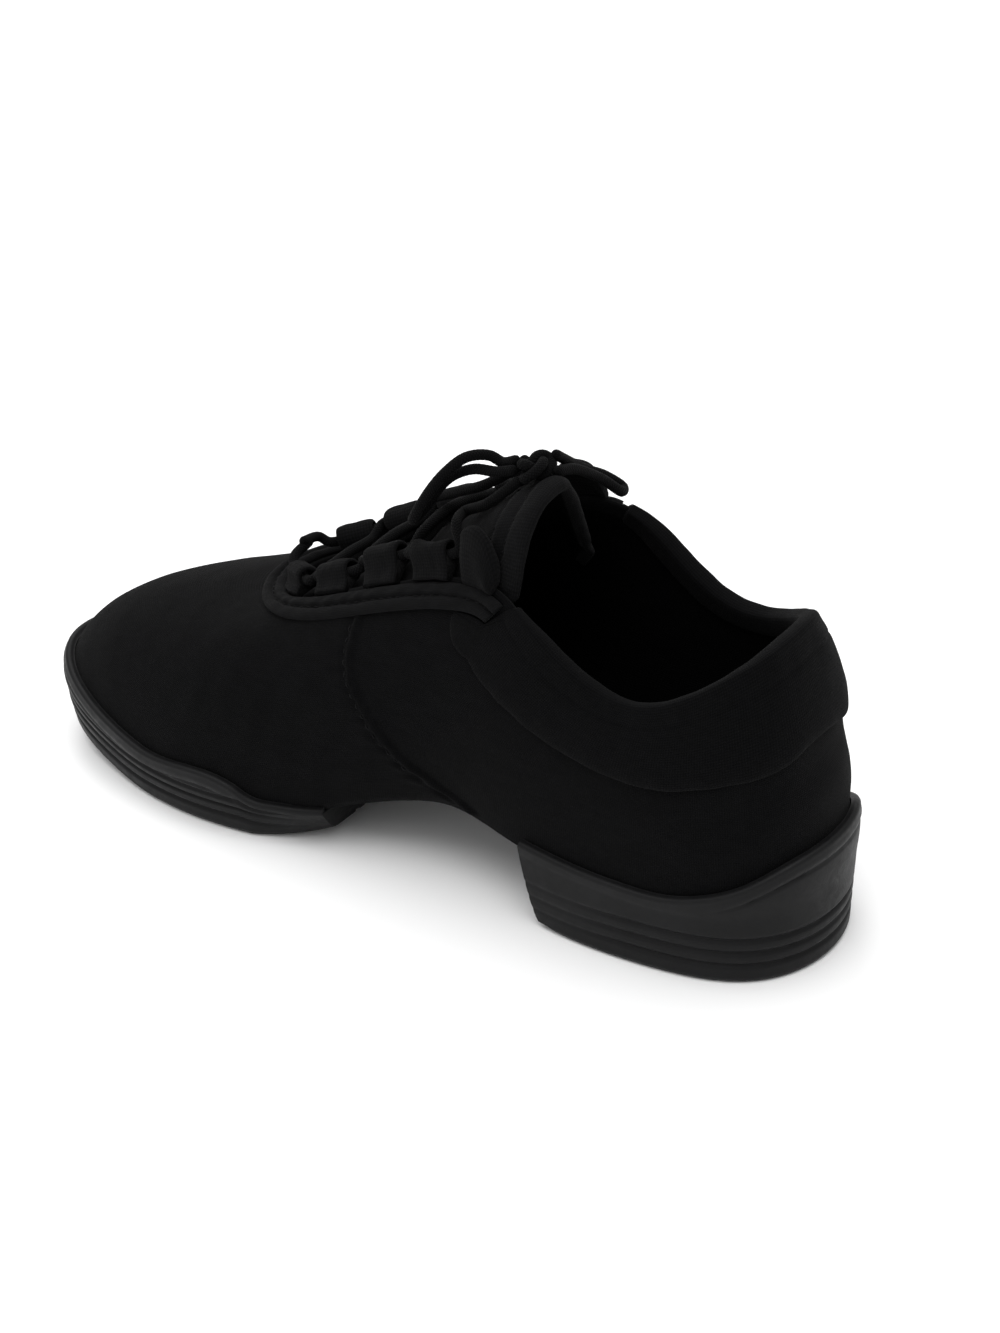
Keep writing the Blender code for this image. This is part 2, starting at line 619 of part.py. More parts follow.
def make_tab(name, tab, side, collection, material):
    """One lace tab: webbing sewn down beside the eyestay and folded round a tunnel for the lace."""
    middle, edge, up, out = tab_frame(tab, side)
    lean = np.radians(TAB_LEAN * tab.lean)
    along_lean = up * np.cos(lean) + out * np.sin(lean)
    across = out * np.cos(lean) - up * np.sin(lean)
    low = (EYESTAY_DROP - EYESTAY_WIDTH) / 2
    mesh = bmesh.new()
    rings = []
    for i, puff in enumerate(TAB_EASE):
        outer = []
        inner = []
        for angle in np.radians(TAB_FOLD):
            ray = along_lean[i] * np.cos(angle) + across[i] * np.sin(angle)
            outer.append(middle[i] + ray * (TAB_BORE + TAB_WALL) * puff)
            inner.append(middle[i] + ray * TAB_BORE)
        outer += [edge[i] - up[i] * low + out[i] * (CLEARANCE + 2 * TAB_WALL * puff),
                  edge[i] - up[i] * low + out[i] * CLEARANCE]
        inner += [middle[i] - (along_lean[i] - across[i] * TAB_NECK) * TAB_BORE,
                  middle[i] - (along_lean[i] + across[i] * TAB_NECK) * TAB_BORE]
        rings.append([[mesh.verts.new(point) for point in outline] for outline in (outer, inner)])
    count = len(rings[0][0])
    for j in range(count):
        k = (j + 1) % count
        for ring, after in zip(rings, rings[1:]):
            mesh.faces.new((ring[0][j], ring[0][k], after[0][k], after[0][j]))
            mesh.faces.new((ring[1][j], after[1][j], after[1][k], ring[1][k]))
        mesh.faces.new((rings[0][0][j], rings[0][1][j], rings[0][1][k], rings[0][0][k]))
        mesh.faces.new((rings[-1][0][j], rings[-1][0][k], rings[-1][1][k], rings[-1][1][j]))
    bmesh.ops.recalc_face_normals(mesh, faces=mesh.faces)
    add_mesh(name, mesh, material, collection)


def make_ear(name, side, collection, material):
    """The webbing's solid end behind the last tab, rounded down towards the cuff."""
    middle, edge, up, out = tab_frame(EAR, side)
    lean = np.radians(TAB_LEAN * EAR.lean)
    along_lean = up * np.cos(lean) + out * np.sin(lean)
    across = out * np.cos(lean) - up * np.sin(lean)
    low = (EYESTAY_DROP - EYESTAY_WIDTH) / 2
    sections = []
    for i, (puff, top) in enumerate(zip(TAB_EASE, EAR_TOP)):
        middle[i] = edge[i] + (middle[i] - edge[i]) * top
        outline = []
        for angle in np.radians(TAB_FOLD):
            ray = along_lean[i] * np.cos(angle) + across[i] * np.sin(angle)
            outline.append(middle[i] + ray * EAR_ROUND * puff)
        outline += [edge[i] - up[i] * low + out[i] * (CLEARANCE + 2 * TAB_WALL * puff),
                    edge[i] - up[i] * low + out[i] * CLEARANCE]
        sections.append(outline)
    add_mesh(name, loft(sections, True), material, collection)


def tongue_crown(place):
    """Outer face of the tongue across the throat, from under the inner eyestay to under the outer."""
    table = np.array(TONGUE_ROWS[::-1])
    crown, back, full, fall = [np.interp(place, table[:, 0], table[:, column])
                               for column in range(1, len(TongueRow._fields))]
    gap = WALL + 2 * CLEARANCE
    flanks = []
    for u in (np.array([place, place, place]), TURN - np.array([place, place, place])):
        below = share_below_top(u, np.array([TONGUE_TUCK, TONGUE_TUCK / 2, 0]))
        flanks.append(skin(u, below, -gap))
    inner, outer = flanks
    outer[:, 2] = np.minimum(outer[:, 2], inner[:, 2])
    side = np.sin(np.linspace(1, -1, ACROSS - 4) * np.pi / 2)
    bow = np.where(side > 0, 1 - np.abs(side) ** full, (1 - side ** 2) ** fall)
    middle = inner[2] + (outer[2] - inner[2]) * (1 - side[:, None]) / 2
    lean = TONGUE_SHIFT * crown / TONGUE_ROWS[-1].crown
    middle += bow[:, None] * [-back * LENGTH, lean, crown * INSTEP_HEIGHT]
    return np.concatenate([inner[:2], middle, outer[1::-1]])


def make_tongue(collection, material):
    """The padded tongue: under the vamp at the front, arched over the instep at the top."""
    u = np.linspace(SIDES - TONGUE_TIP, SIDES + TONGUE_TIP, ACROSS)
    gap = WALL + 2 * CLEARANCE
    lines = [skin(u, share_below_top(u, TONGUE_TUCK), -gap)]
    for row in TONGUE_ROWS:
        lines.append(tongue_crown(row.place))
    faces = np.array(lines)
    run = np.gradient(faces, axis=0)
    width = np.gradient(faces, axis=1)
    under = np.cross(run, width)
    under /= np.linalg.norm(under, axis=2)[:, :, None]
    under *= -np.sign(under[:, MIDDLE:MIDDLE + 1, 2:])
    across = 1 - np.abs(np.linspace(-1, 1, ACROSS)) ** 3 * TONGUE_EDGE
    thin = np.clip(np.arange(len(faces)) / TONGUE_TAPER, TONGUE_EDGE, 1)
    sections = []
    for face, normal, thick in zip(faces, under, thin):
        sections.append(np.concatenate([face, (face + normal * (TONGUE * thick * across)[:, None])[::-1]]))
    add_mesh("tongue", loft(sections, True), material, collection)


def smooth_line(points, per_step):
    """Points of a smooth open line that passes through the given ones."""
    points = np.asarray(points)
    line = np.vstack([2 * points[0] - points[1], points, 2 * points[-1] - points[-2]])
    result = []
    for a, b, c, d in zip(line, line[1:], line[2:], line[3:]):
        for t in np.arange(per_step) / per_step:
            cubic = (3 * b - a - 3 * c + d) * t ** 3 + (2 * a - 5 * b + 4 * c - d) * t ** 2 + (c - a) * t
            result.append(b + cubic / 2)
    return np.array(result + [points[-1]])


def knot_middle():
    """Middle of the knot: on top of the tongue between the two ears."""
    ridge = tongue_crown(EAR.place)[MIDDLE]
    return ridge + [0, 0, KNOT_TALL / 2 + KNOT_RISE]


def beside_knot(step, ease):
    """A point off the knot's face by a share of the lace, on the way from its middle to a step away."""
    half = np.array([KNOT_WIDE, KNOT_LONG, KNOT_TALL]) / 2
    ray = np.array(step) / np.linalg.norm(step)
    reach = 1 / np.linalg.norm(ray / half)
    return knot_middle() + ray * (reach + CLEARANCE + LACE * ease)


def tongue_over(x):
    """Outer face of the tongue across the shoe at a distance along it."""
    lines = np.array([tongue_crown(row.place) for row in TONGUE_ROWS[::-1]])
    points = []
    for line in np.swapaxes(lines, 0, 1):
        points.append([x, np.interp(x, line[:, 0], line[:, 1]), np.interp(x, line[:, 0], line[:, 2])])
    return np.array(points)


def crossing(start, end, side, over):
    """Points of one strand over the tongue between two tunnels' mouths, the second on the other side."""
    stand = 4 * CLEARANCE + LACE / 2 + (LACE_OVER * LACE if over else 0)
    points = []
    between = (start + end) / 2
    for pick, lean, spot in ((HALF_WAY, 1, between), (MIDDLE, 0, between), (ACROSS - 1 - HALF_WAY, -1, end)):
        pick = pick if side > 0 else ACROSS - 1 - pick
        points.append(tongue_over(spot[0])[pick] + [0, side * lean * LACE_LEAN * stand, stand])
    for mouth, at, near in ((start, 0, points[0]), (end, len(points) + 1, points[-1])):
        step = (near - mouth) / np.linalg.norm(near - mouth)
        points.insert(at, mouth + step * LACE)
    return points


def lace_half(side):
    """Points of half of the lace, from the middle of the front bar through four tabs to the knot."""
    tunnels = []
    for number, tab in enumerate(TABS):
        across = side if number % 2 == 0 else -side
        tunnels.append(tab_frame(tab, across)[0])
    run = [(back - front) / np.linalg.norm(back - front) for front, _, back in tunnels]
    mouths = []
    for (front, _, back), way in zip(tunnels, run):
        mouths.append((front - way * LACE_LEAD, back + way * LACE_LEAD))
    ahead = mouths[0][0]
    line = [[ahead[0] + LACE_LEAD, -side * LACE / 4, ahead[2] + LACE_LEAD],
            [ahead[0] + LACE_LEAD, side * LACE * 2, ahead[2] + LACE_LEAD / 2]]
    for number in range(len(TABS)):
        across = side if number % 2 == 0 else -side
        line += mouths[number]
        if number + 1 < len(TABS):
            over = (number % 2 == 0) == (side > 0)
            line += crossing(mouths[number][1], mouths[number + 1][0], across, over)
    last = mouths[-1][1]
    line.append(last + [LACE, -across * LACE, LACE_LIFT * LACE])
    pick = HALF_WAY if across > 0 else ACROSS - 1 - HALF_WAY
    for ahead_of_last, rise in LACE_LAST:
        line.append(tongue_over(last[0] + ahead_of_last * LACE)[pick] + [0, 0, rise * LACE])
    line.append(beside_knot(KNOT_UNDER * np.array([1, across, 1]), LOOP_EASE))
    return line


def tube(points, size):
    """A round cord's closed body along the points."""
    points = np.asarray(points)
    steps = np.diff(points, axis=0)
    steps /= np.linalg.norm(steps, axis=1)[:, None]
    ahead = np.vstack([steps[:1], steps]) + np.vstack([steps, steps[-1:]])
    ahead /= np.linalg.norm(ahead, axis=1)[:, None]
    across = np.cross(ahead[0], [0, 0, 1.0])
    sections = []
    for point, forward in zip(points, ahead):
        across = across - forward * (across @ forward)
        across /= np.linalg.norm(across)
        other = np.cross(forward, across)
        turn = np.radians(np.arange(0, 360, 45))[:, None]
        sections.append(point + (across * np.cos(turn) + other * np.sin(turn)) * size / 2)
    return loft(sections, True)


def make_lace(collection, cutters, material):
    """The laced part, its knot, two bow loops and two ends."""
    halves = [add_mesh(name, tube(lace_half(side), LACE), material, target)
              for name, side, target in (("lace_crossings", 1, collection), ("lace_other_half", -1, cutters))]
    halves[1].hide_render = True
    halves[1].display_type = "WIRE"
    joined = halves[0].modifiers.new("join", "BOOLEAN")
    joined.operation = "UNION"
    joined.solver = "EXACT"
    joined.object = halves[1]
    knot = bmesh.new()
    bmesh.ops.create_uvsphere(knot, u_segments=12, v_segments=8, radius=0.5)
    bmesh.ops.scale(knot, vec=(KNOT_WIDE, KNOT_LONG, KNOT_TALL), verts=knot.verts)
    bmesh.ops.translate(knot, vec=knot_middle(), verts=knot.verts)
    add_mesh("lace_knot", knot, material, collection)
    for name, steps, closed in (("lace_loop_near", LOOP_NEAR, True), ("lace_loop_far", LOOP_FAR, True),
                                ("lace_end_near", END_NEAR, False), ("lace_end_far", END_FAR, False)):
        inside = steps[1:-1] if closed else steps[1:]
        ease = LOOP_EASE if closed else END_EASE
        points = [beside_knot(steps[0], ease)]
        points += [knot_middle() + np.array(step) * LENGTH for step in inside]
        if closed:
            points.append(beside_knot(steps[-1], ease))
        add_mesh(name, tube(smooth_line(points, 2), LACE), material, collection)


def main():
    for old in list(bpy.data.objects):
        bpy.data.objects.remove(old)
    shoe = bpy.data.collections.new("dance_sneaker")
    cutters = bpy.data.collections.new("cutters")
    bpy.context.scene.collection.children.link(shoe)
    bpy.context.scene.collection.children.link(cutters)
    canvas_look = look("canvas", (0.018, 0.018, 0.020), 0.9)
    rubber_look = look("rubber", (0.045, 0.045, 0.048), 0.55)
    lace_look = look("lace", (0.012, 0.012, 0.013), 0.8)
    make_upper(shoe, canvas_look)
    make_soles(shoe, rubber_look)
    make_insole(shoe, look("insole", (0.03, 0.03, 0.032), 0.9))
    make_cuff(shoe, canvas_look)
    make_eyestay(shoe, canvas_look)
    for number, tab in enumerate(TABS, 1):
        make_tab(f"lace_tab_in_{number}", tab, 1, shoe, canvas_look)
        make_tab(f"lace_tab_out_{number}", tab, -1, shoe, canvas_look)
    make_ear("collar_ear_in", 1, shoe, canvas_look)
    make_ear("collar_ear_out", -1, shoe, canvas_look)
    make_tongue(shoe, canvas_look)
    make_lace(shoe, cutters, lace_look)


main()
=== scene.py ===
import bmesh
import bpy
import numpy as np
from mathutils import Matrix, Vector


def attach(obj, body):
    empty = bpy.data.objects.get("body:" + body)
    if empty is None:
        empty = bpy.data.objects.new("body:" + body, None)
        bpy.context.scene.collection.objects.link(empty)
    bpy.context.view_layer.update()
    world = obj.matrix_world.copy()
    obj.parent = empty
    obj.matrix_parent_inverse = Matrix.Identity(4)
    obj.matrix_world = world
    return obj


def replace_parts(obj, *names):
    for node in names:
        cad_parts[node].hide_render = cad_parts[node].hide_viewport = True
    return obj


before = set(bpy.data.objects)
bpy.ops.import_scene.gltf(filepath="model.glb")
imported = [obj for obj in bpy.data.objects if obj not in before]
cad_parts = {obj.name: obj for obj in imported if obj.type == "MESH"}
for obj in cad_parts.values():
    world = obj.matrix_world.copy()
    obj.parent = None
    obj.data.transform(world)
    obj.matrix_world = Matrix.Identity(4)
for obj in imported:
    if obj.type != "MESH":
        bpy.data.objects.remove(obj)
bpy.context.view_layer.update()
bpy.context.scene.view_settings.view_transform = "Standard"

# Sizes and tables, as in the model.
LENGTH = 0.256
BALL_WIDTH = 0.080
HEEL_WIDTH = 0.061
INSTEP_HEIGHT = 0.096
COLLAR_HEIGHT = 0.089
HEEL_LIFT = 0.020
HEEL_CENTRE = 0.036
WALL = 0.0018
CLEARANCE = 0.0003
RUBBER = 0.0024
TOE_SPRING = 0.009
EDGE_ROUND = 0.0018
MARGIN = 0.012
INSOLE = 0.003
INSOLE_PLAY = 0.0012
HEEL_FLARE = 0.0015
PAD_FLARE = 0.0012
PAD_TUCK = 0.0060
PAD_RISE = 0.0065
BREAST_SLANT = 0.007
BREAST_FROM = 0.16
HEEL_FRONT = 0.35
PAD_BACK = 0.54
TREAD_BALL = 0.65
TREAD_TOE = 0.80
TOE_CURVE = 1.6
ARCH_CURVE = 2
GROOVES = 3
GROOVE_PITCH = 0.0040
GROOVE_DEPTH = 0.0008
HEEL_SOLE_END = 3
PAD_START = 5
ARCH_FROM = 2.7
ARCH_TO = 5.3
CUFF_HEIGHT = 0.021
CUFF_SWELL = 0.0024
CUFF_ROLL = 0.0034
CUFF_TAPER = 4.1
CUFF_END = 4.5
CUFF_TIP = 4.9
CUFF_CURVE = 2.5
CUFF_SHRINK = 0.70
CUFF_POINT = 0.0015
EYESTAY_WIDTH = 0.0064
EYESTAY_DROP = 0.0082
EYESTAY_SWELL = 0.0018
TAB_WIDTH = 0.0120
TAB_RISE = 0.0060
TAB_LEAN = 20
TAB_WALL = 0.0013
TAB_BORE = 0.0023
EAR_ROUND = 0.0023
TONGUE = 0.0045
TONGUE_TUCK = 0.0075
TONGUE_SHIFT = 0.006
LACE = 0.0028
LACE_LEAD = 0.0030
LACE_OVER = 0.8
LACE_LEAN = 0.6
LACE_LIFT = 1.8
LACE_LAST = [(2, 1.7), (-1, 1.0)]
KNOT_LONG = 0.0115
KNOT_WIDE = 0.009
KNOT_TALL = 0.007
KNOT_RISE = 0.0006
KNOT_UNDER = (.5, .8, -.55)
LOOP_EASE = 0.33
END_EASE = 0.15

# Sections of the upper from heel to toe: width, height, then for the foot line its place and half widths,
# for the low pull its reach and lift, for the high pull and for the rim their place, half widths and height,
# last the outer side's lift.
B, H, F, C = BALL_WIDTH, HEEL_WIDTH, INSTEP_HEIGHT, COLLAR_HEIGHT
ROWS = np.array([
    (H, C, .020, 0, 0, .04, .20, .027, .02, .02, .77, .061, .05, .05, 1.01, 0),
    (H, C, .052, .34, .34, .05, .19, .053, .36, .34, .75, .076, .29, .23, .975, 0),
    (H, C, .150, .50, .50, .06, .18, .150, .53, .53, .70, .141, .45, .44, .860, 0),
    (H, C, .305, .50, .52, .05, .20, .265, .55, .57, .68, .218, .465, .475, .845, .02),
    (B, F, .430, .31, .41, .10, .17, .355, .43, .47, .69, .292, .350, .360, .900, .05),
    (B, F, .562, .41, .50, .09, .20, .460, .43, .48, .72, .365, .300, .300, .985, .03),
    (B, F, .720, .495, .51, .08, .19, .594, .44, .39, .67, .500, .270, .260, .860, .01),
    (B, F, .868, .42, .41, .08, .23, .745, .37, .29, .58, .620, .230, .205, .715, 0),
    (B, F, .976, .14, .14, .06, .24, .862, .05, .03, .580, .668, 0, 0, .680, 0),
])
# Height of the foot's bed along the shoe, at its inner and its outer side, as shares of the heel's lift.
BED = np.array([(0.00, 1, 1), (0.16, 1, 1), (0.30, 1.10, 1.00), (0.43, 1.15, .897), (0.51, .897, .690),
                (0.58, .600, .500), (0.66, .420, .400), (0.76, .400, .400), (0.87, .560, .560),
                (0.97, .800, .800)])
BED[:, 1:] *= HEEL_LIFT
# How far the rubber climbs the canvas along the shoe.
GUARD = np.array([(0.00, .0180), (0.03, .0162), (0.07, .0099), (0.12, .0054), (0.20, .00396), (0.33, .00396),
                  (0.55, .00096), (0.61, .00336), (0.645, .00504), (0.670, .00888), (0.80, .00912),
                  (0.90, .0104), (0.97, .0128), (1.00, .0150)])
# Tabs from the toe back: place round the rim, rise at the inner and outer side, width, lean.
TABS = [(7.12, 1.00, 1.25, 0.90, 2.4), (6.45, 1.00, 1.45, 1.00, 1.8), (5.95, 1.25, 1.40, 1.00, 1.3),
        (5.47, 1.10, 0.98, 1.05, 1.3)]
EAR = (4.91, 1.85, 1.40, 1.05, 1.3)
# The tongue from the toe back: place round the rim, crown, lean back, fullness at the inner and outer side.
TONGUE_ROWS = np.array([(7.30, 0.000, 0.000, 2.0, 1.00), (7.00, 0.024, 0.000, 2.0, 1.00),
                        (6.50, 0.052, 0.000, 2.0, 1.00), (6.00, 0.074, 0.000, 2.0, 1.00),
                        (5.50, 0.130, 0.000, 1.6, 1.05), (5.25, 0.175, 0.002, 2.0, 1.10),
                        (5.00, 0.215, 0.007, 2.7, 1.20), (4.80, 0.247, 0.012, 3.0, 1.28),
                        (4.63, 0.271, 0.014, 3.2, 1.35)])
CUFF_DEPTH = np.array([(0, 1.2), (.5, 1.26), (1, 1.18), (1.5, 1), (2, .92), (2.5, .85), (3, .92), (3.5, 1),
                       (5, 1)])
# The bow's loops and ends: steps from the knot's middle, as shares of the length.
LOOP_NEAR = [(.021, .003, .003), (.039, .001, -.004), (.052, .005, .002), (.067, .023, .004),
             (.083, .039, -.011), (.098, .050, -.034), (.110, .058, -.059), (.117, .048, -.066),
             (.107, .038, -.052), (.098, .030, -.035), (.085, .023, -.021), (.065, .015, -.012),
             (.038, .013, -.009), (.018, .011, -.003)]
LOOP_FAR = [(-.008, -.022, .005), (-.006, -.043, -.009), (-.003, -.061, -.022), (-.006, -.080, -.036),
            (-.015, -.098, -.048), (-.029, -.109, -.062), (-.035, -.098, -.061), (-.027, -.079, -.042),
            (-.023, -.058, -.026), (-.022, -.034, -.011), (-.018, -.009, -.003)]
END_NEAR = [(.018, -.008, -.001), (.038, -.010, -.019), (.069, -.006, -.040), (.104, -.010, -.058),
            (.136, -.018, -.075), (.159, -.026, -.088)]
END_FAR = [(.003, -.023, -.008), (.013, -.046, -.019), (.034, -.073, -.036), (.050, -.100, -.057),
           (.054, -.123, -.082), (.057, -.145, -.112), (.063, -.161, -.139)]
SIDES = len(ROWS) - 1
TURN = 2 * SIDES

CANVAS_COLUMNS = 640
CANVAS_LEVELS = 92
LINING_LEVELS = 26
SOLE_ROWS = 84
SOLE_FINE = 1.5
CUFF_STEP = 1 / 44
BAND_COLUMNS = 420
CORD_STEP = .00045
MERGE = 2e-5
FINE_MERGE = 1e-5


def along(share):
    return np.asarray(share) * LENGTH - HEEL_CENTRE


def unit(v):
    return v / np.maximum(np.linalg.norm(v, axis=-1, keepdims=True), 1e-12)


def added(steps):
    """Running sum of steps, from nought."""
    return np.concatenate([[0], np.cumsum(steps)])


def gone(points):
    """Distance gone along a line of points."""
    return added(np.linalg.norm(np.diff(points, axis=0), axis=1))


def stations(*stretches):
    """Places along one stretch after another, each given by its ends and its count."""
    return np.concatenate([np.linspace(*stretch)[min(k, 1):] for k, stretch in enumerate(stretches)])


def other_side(u):
    return (TURN - u) % TURN


def smooth(a, b, x):
    t = np.clip((x - a) / (b - a), 0, 1)
    return t * t * (3 - 2 * t)


def window(a, b, c, d, x):
    """Rises from a to b and falls from c to d."""
    return smooth(a, b, x) * (1 - smooth(c, d, x))


def bell(x, centre, width):
    return np.exp(-((x - centre) / width) ** 2)


def ripple(x, pitch, phase=0.0):
    return np.sin(x * 2 * np.pi / pitch + phase)


def evened(points, times):
    """The points with their inner rows drawn towards their neighbours."""
    for _ in range(times):
        points[1:-1] = (points[:-2] + 2 * points[1:-1] + points[2:]) / 4
    return points


def waves(p, size, seed, octaves=3):
    """Soft noise from sums of sines, the same every run. p is points, size the length of a wave."""
    r = np.random.default_rng(seed)
    total = 0
    weight = 1.0
    for _ in range(octaves):
        part = 0
        for _ in range(5):
            way = unit(r.normal(size=3))
            part = part + np.sin(p @ way * (2 * np.pi / size) * r.uniform(.7, 1.4) + r.uniform(0, 6.28))
        total = total + part / 5 * weight
        weight *= .5
        size *= .52
    return total


def layers(p, *table):
    """Sum of soft noises, each given by its height, wave length, seed and octaves."""
    return sum(height * waves(p, size, seed, octaves) for height, size, seed, octaves in table)


# The shoe's own surface: u goes round it from the heel over its inner side, v from the foot up to the rim.
def pulls_of(points):
    """Pulls of the closed smooth curve that passes through the points."""
    n = len(points)
    m = np.zeros((n, n))
    for i in range(n):
        m[i, i] = 4 / 6
        m[i, (i + 1) % n] = 1 / 6
        m[i, (i - 1) % n] = 1 / 6
    return np.linalg.solve(m, np.asarray(points, float))


def ring_points():
    foot, low, high, top = [], [], [], []
    order = [(i, 1) for i in range(SIDES + 1)] + [(i, -1) for i in range(SIDES - 1, 0, -1)]
    for i, s in order:
        w, h, fx, fi, fo, lo, lu, hx, hi, ho, hz, tx, ti, to, tz, lift = ROWS[i]
        foot.append((along(fx), s * (fi if s > 0 else fo) * w))
        low.append((lo * w, lu * h))
        high.append((along(hx), s * (hi if s > 0 else ho) * w, hz * h))
        top.append((along(tx), s * (ti if s > 0 else to) * w, (tz if s > 0 else tz + lift) * h))
    return [pulls_of(rows) for rows in (foot, low, high, top)]


FOOT, LOW, HIGH, TOP = ring_points()


def ring(pulls, u):
    n = len(pulls)
    u = np.asarray(u, float) % TURN
    whole = np.floor(u).astype(int)
    t = (u - whole)[..., None]
    a, b, c, d = [pulls[(whole + k) % n] for k in (-1, 0, 1, 2)]
    return ((1 - t) ** 3 * a + (3 * t ** 3 - 6 * t ** 2 + 4) * b
            + (-3 * t ** 3 + 3 * t ** 2 + 3 * t + 1) * c + t ** 3 * d) / 6


def eased(table, column, x):
    """A column of a table along the shoe at x, eased between its rows."""
    places = along(table[:, 0])
    values = table[:, column]
    slopes = np.gradient(values, places)
    k = np.clip(np.searchsorted(places, x) - 1, 0, len(places) - 2)
    gap = places[k + 1] - places[k]
    t = np.clip((x - places[k]) / gap, 0, 1)
    return ((1 + 2 * t) * (1 - t) ** 2 * values[k] + t * (1 - t) ** 2 * gap * slopes[k]
            + t ** 2 * (3 - 2 * t) * values[k + 1] + t ** 2 * (t - 1) * gap * slopes[k + 1])


def bed(x, y):
    share = np.clip(0.5 + y / BALL_WIDTH, 0, 1)
    inner, outer = eased(BED, 1, x), eased(BED, 2, x)
    return outer + (inner - outer) * share ** 2 * (3 - 2 * share)


def foot_line(u):
    """Edge of the foot's bed round the shoe, and its level way out."""
    step = 0.001
    plan = ring(FOOT, u)
    run = ring(FOOT, np.asarray(u) + step) - ring(FOOT, np.asarray(u) - step)
    out = unit(np.stack([-run[..., 1], run[..., 0], 0 * run[..., 0]], -1))
    edge = np.concatenate([plan, bed(plan[..., 0], plan[..., 1])[..., None]], -1)
    return edge, out


def canvas(u, v):
    """Points of the upper's outer surface."""
    u = np.asarray(u, float)
    v = np.asarray(v, float)[..., None]
    edge, out = foot_line(u)
    low = ring(LOW, u)
    first = edge + out * low[..., :1]
    first[..., 2] += low[..., 1]
    return (1 - v) ** 3 * edge + 3 * (1 - v) ** 2 * v * first + 3 * (1 - v) * v ** 2 * ring(HIGH, u) \
        + v ** 3 * ring(TOP, u)


def normal(u, v):
    step = 0.002
    around = canvas(u + step, v) - canvas(u - step, v)
    up = canvas(u, v + step) - canvas(u, v - step)
    return unit(np.cross(up, around))


def skin(u, v, out=0.0):
    """Points that stand a distance out from the upper's outer surface."""
    u = np.asarray(u, float) + 0 * np.asarray(v, float)
    v = np.asarray(v, float) + 0 * u
    return canvas(u, v) + normal(u, v) * np.asarray(out)[..., None]


def rim(u):
    """The upper's top edge, with its ways up and out."""
    step = 0.01
    whole = np.ones(np.shape(u))
    edge = canvas(u, whole)
    out = normal(u, whole)
    up = unit(np.cross(canvas(u + step, whole) - canvas(u - step, whole), out))
    return edge, up, out


# Distance below the rim and height, on a fine grid, so that places can be looked up quickly.
GRID_PER_SIDE = 16
NEAR_REACH = 1.2
NEAR_COUNT = 61
GRID_U = np.arange(0, TURN, 1 / GRID_PER_SIDE)
GRID_V = np.linspace(0, 1, 161)
GRID = canvas(GRID_U[:, None] + 0 * GRID_V[None], GRID_V[None] + 0 * GRID_U[:, None])
BELOW = np.zeros(GRID.shape[:2])
for i, one in enumerate(GRID_U):
    near = canvas(one + np.linspace(-NEAR_REACH, NEAR_REACH, NEAR_COUNT), np.ones(NEAR_COUNT))
    gaps = np.linalg.norm(GRID[i][:, None] - near[None], axis=2).min(1)
    gaps[-1] = 0
    BELOW[i] = np.maximum.accumulate(gaps[::-1])[::-1]
TALL = np.maximum.accumulate(GRID[:, :, 2], axis=1)


def looked_up(table, rising, u, value):
    """v at which a grid table takes a value, for matching arrays u and value."""
    u = np.asarray(u, float)
    value = np.broadcast_to(np.asarray(value, float), u.shape)
    place = (u % TURN) * GRID_PER_SIDE
    low = np.floor(place).astype(int)
    result = np.zeros(u.shape)
    flat = result.ravel()
    for n, (i, s, want) in enumerate(zip(low.ravel(), (place - low).ravel(), value.ravel())):
        line = table[i % len(table)] * (1 - s) + table[(i + 1) % len(table)] * s
        flat[n] = np.interp(want, line, GRID_V) if rising else np.interp(-want, -line, GRID_V)
    return flat.reshape(u.shape)


def share_below_top(u, distance):
    return looked_up(BELOW, False, u, distance)


def share_at_height(u, height):
    return looked_up(TALL, True, u, height)


# Mesh helpers.
def new_mesh(name, verts, faces, material, uv=None):
    data = bpy.data.meshes.new(name)
    data.from_pydata([tuple(p) for p in verts], [], [tuple(f) for f in faces])
    data.validate()
    if uv is not None:
        layer = data.uv_layers.new(name="UVMap")
        index = np.zeros(len(data.loops), int)
        data.loops.foreach_get("vertex_index", index)
        layer.data.foreach_set("uv", np.asarray(uv, float)[index].ravel())
    data.materials.append(material)
    data.polygons.foreach_set("use_smooth", [True] * len(data.polygons))
    data.update()
    piece = bpy.data.objects.new(name, data)
    bpy.context.scene.collection.objects.link(piece)
    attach(piece, "root")
    return piece


def weld(piece, distance):
    """Joins points that lie together and turns all faces outwards."""
    mesh = bmesh.new()
    mesh.from_mesh(piece.data)
    bmesh.ops.remove_doubles(mesh, verts=mesh.verts, dist=distance)
    bmesh.ops.recalc_face_normals(mesh, faces=mesh.faces)
    mesh.to_mesh(piece.data)
    mesh.free()


def grid_faces(rows, columns, wrap_rows=False, wrap_columns=False):
    i = np.arange(rows if wrap_rows else rows - 1)
    j = np.arange(columns if wrap_columns else columns - 1)
    i, j = np.meshgrid(i, j, indexing="ij")
    k, m = (i + 1) % rows, (j + 1) % columns
    return np.stack([i * columns + j, k * columns + j, k * columns + m, i * columns + m], -1).reshape(-1, 4)


def grid_uv(points, rows=None):
    """Distances along both ways of a grid of points, in metres, the second from its first rows if so told."""
    across = np.linalg.norm(np.diff(points, axis=0), axis=2).mean(1)
    onward = np.linalg.norm(np.diff(points, axis=1), axis=2)[:rows].mean(0)
    return np.stack(np.meshgrid(added(across), added(onward), indexing="ij"), -1)


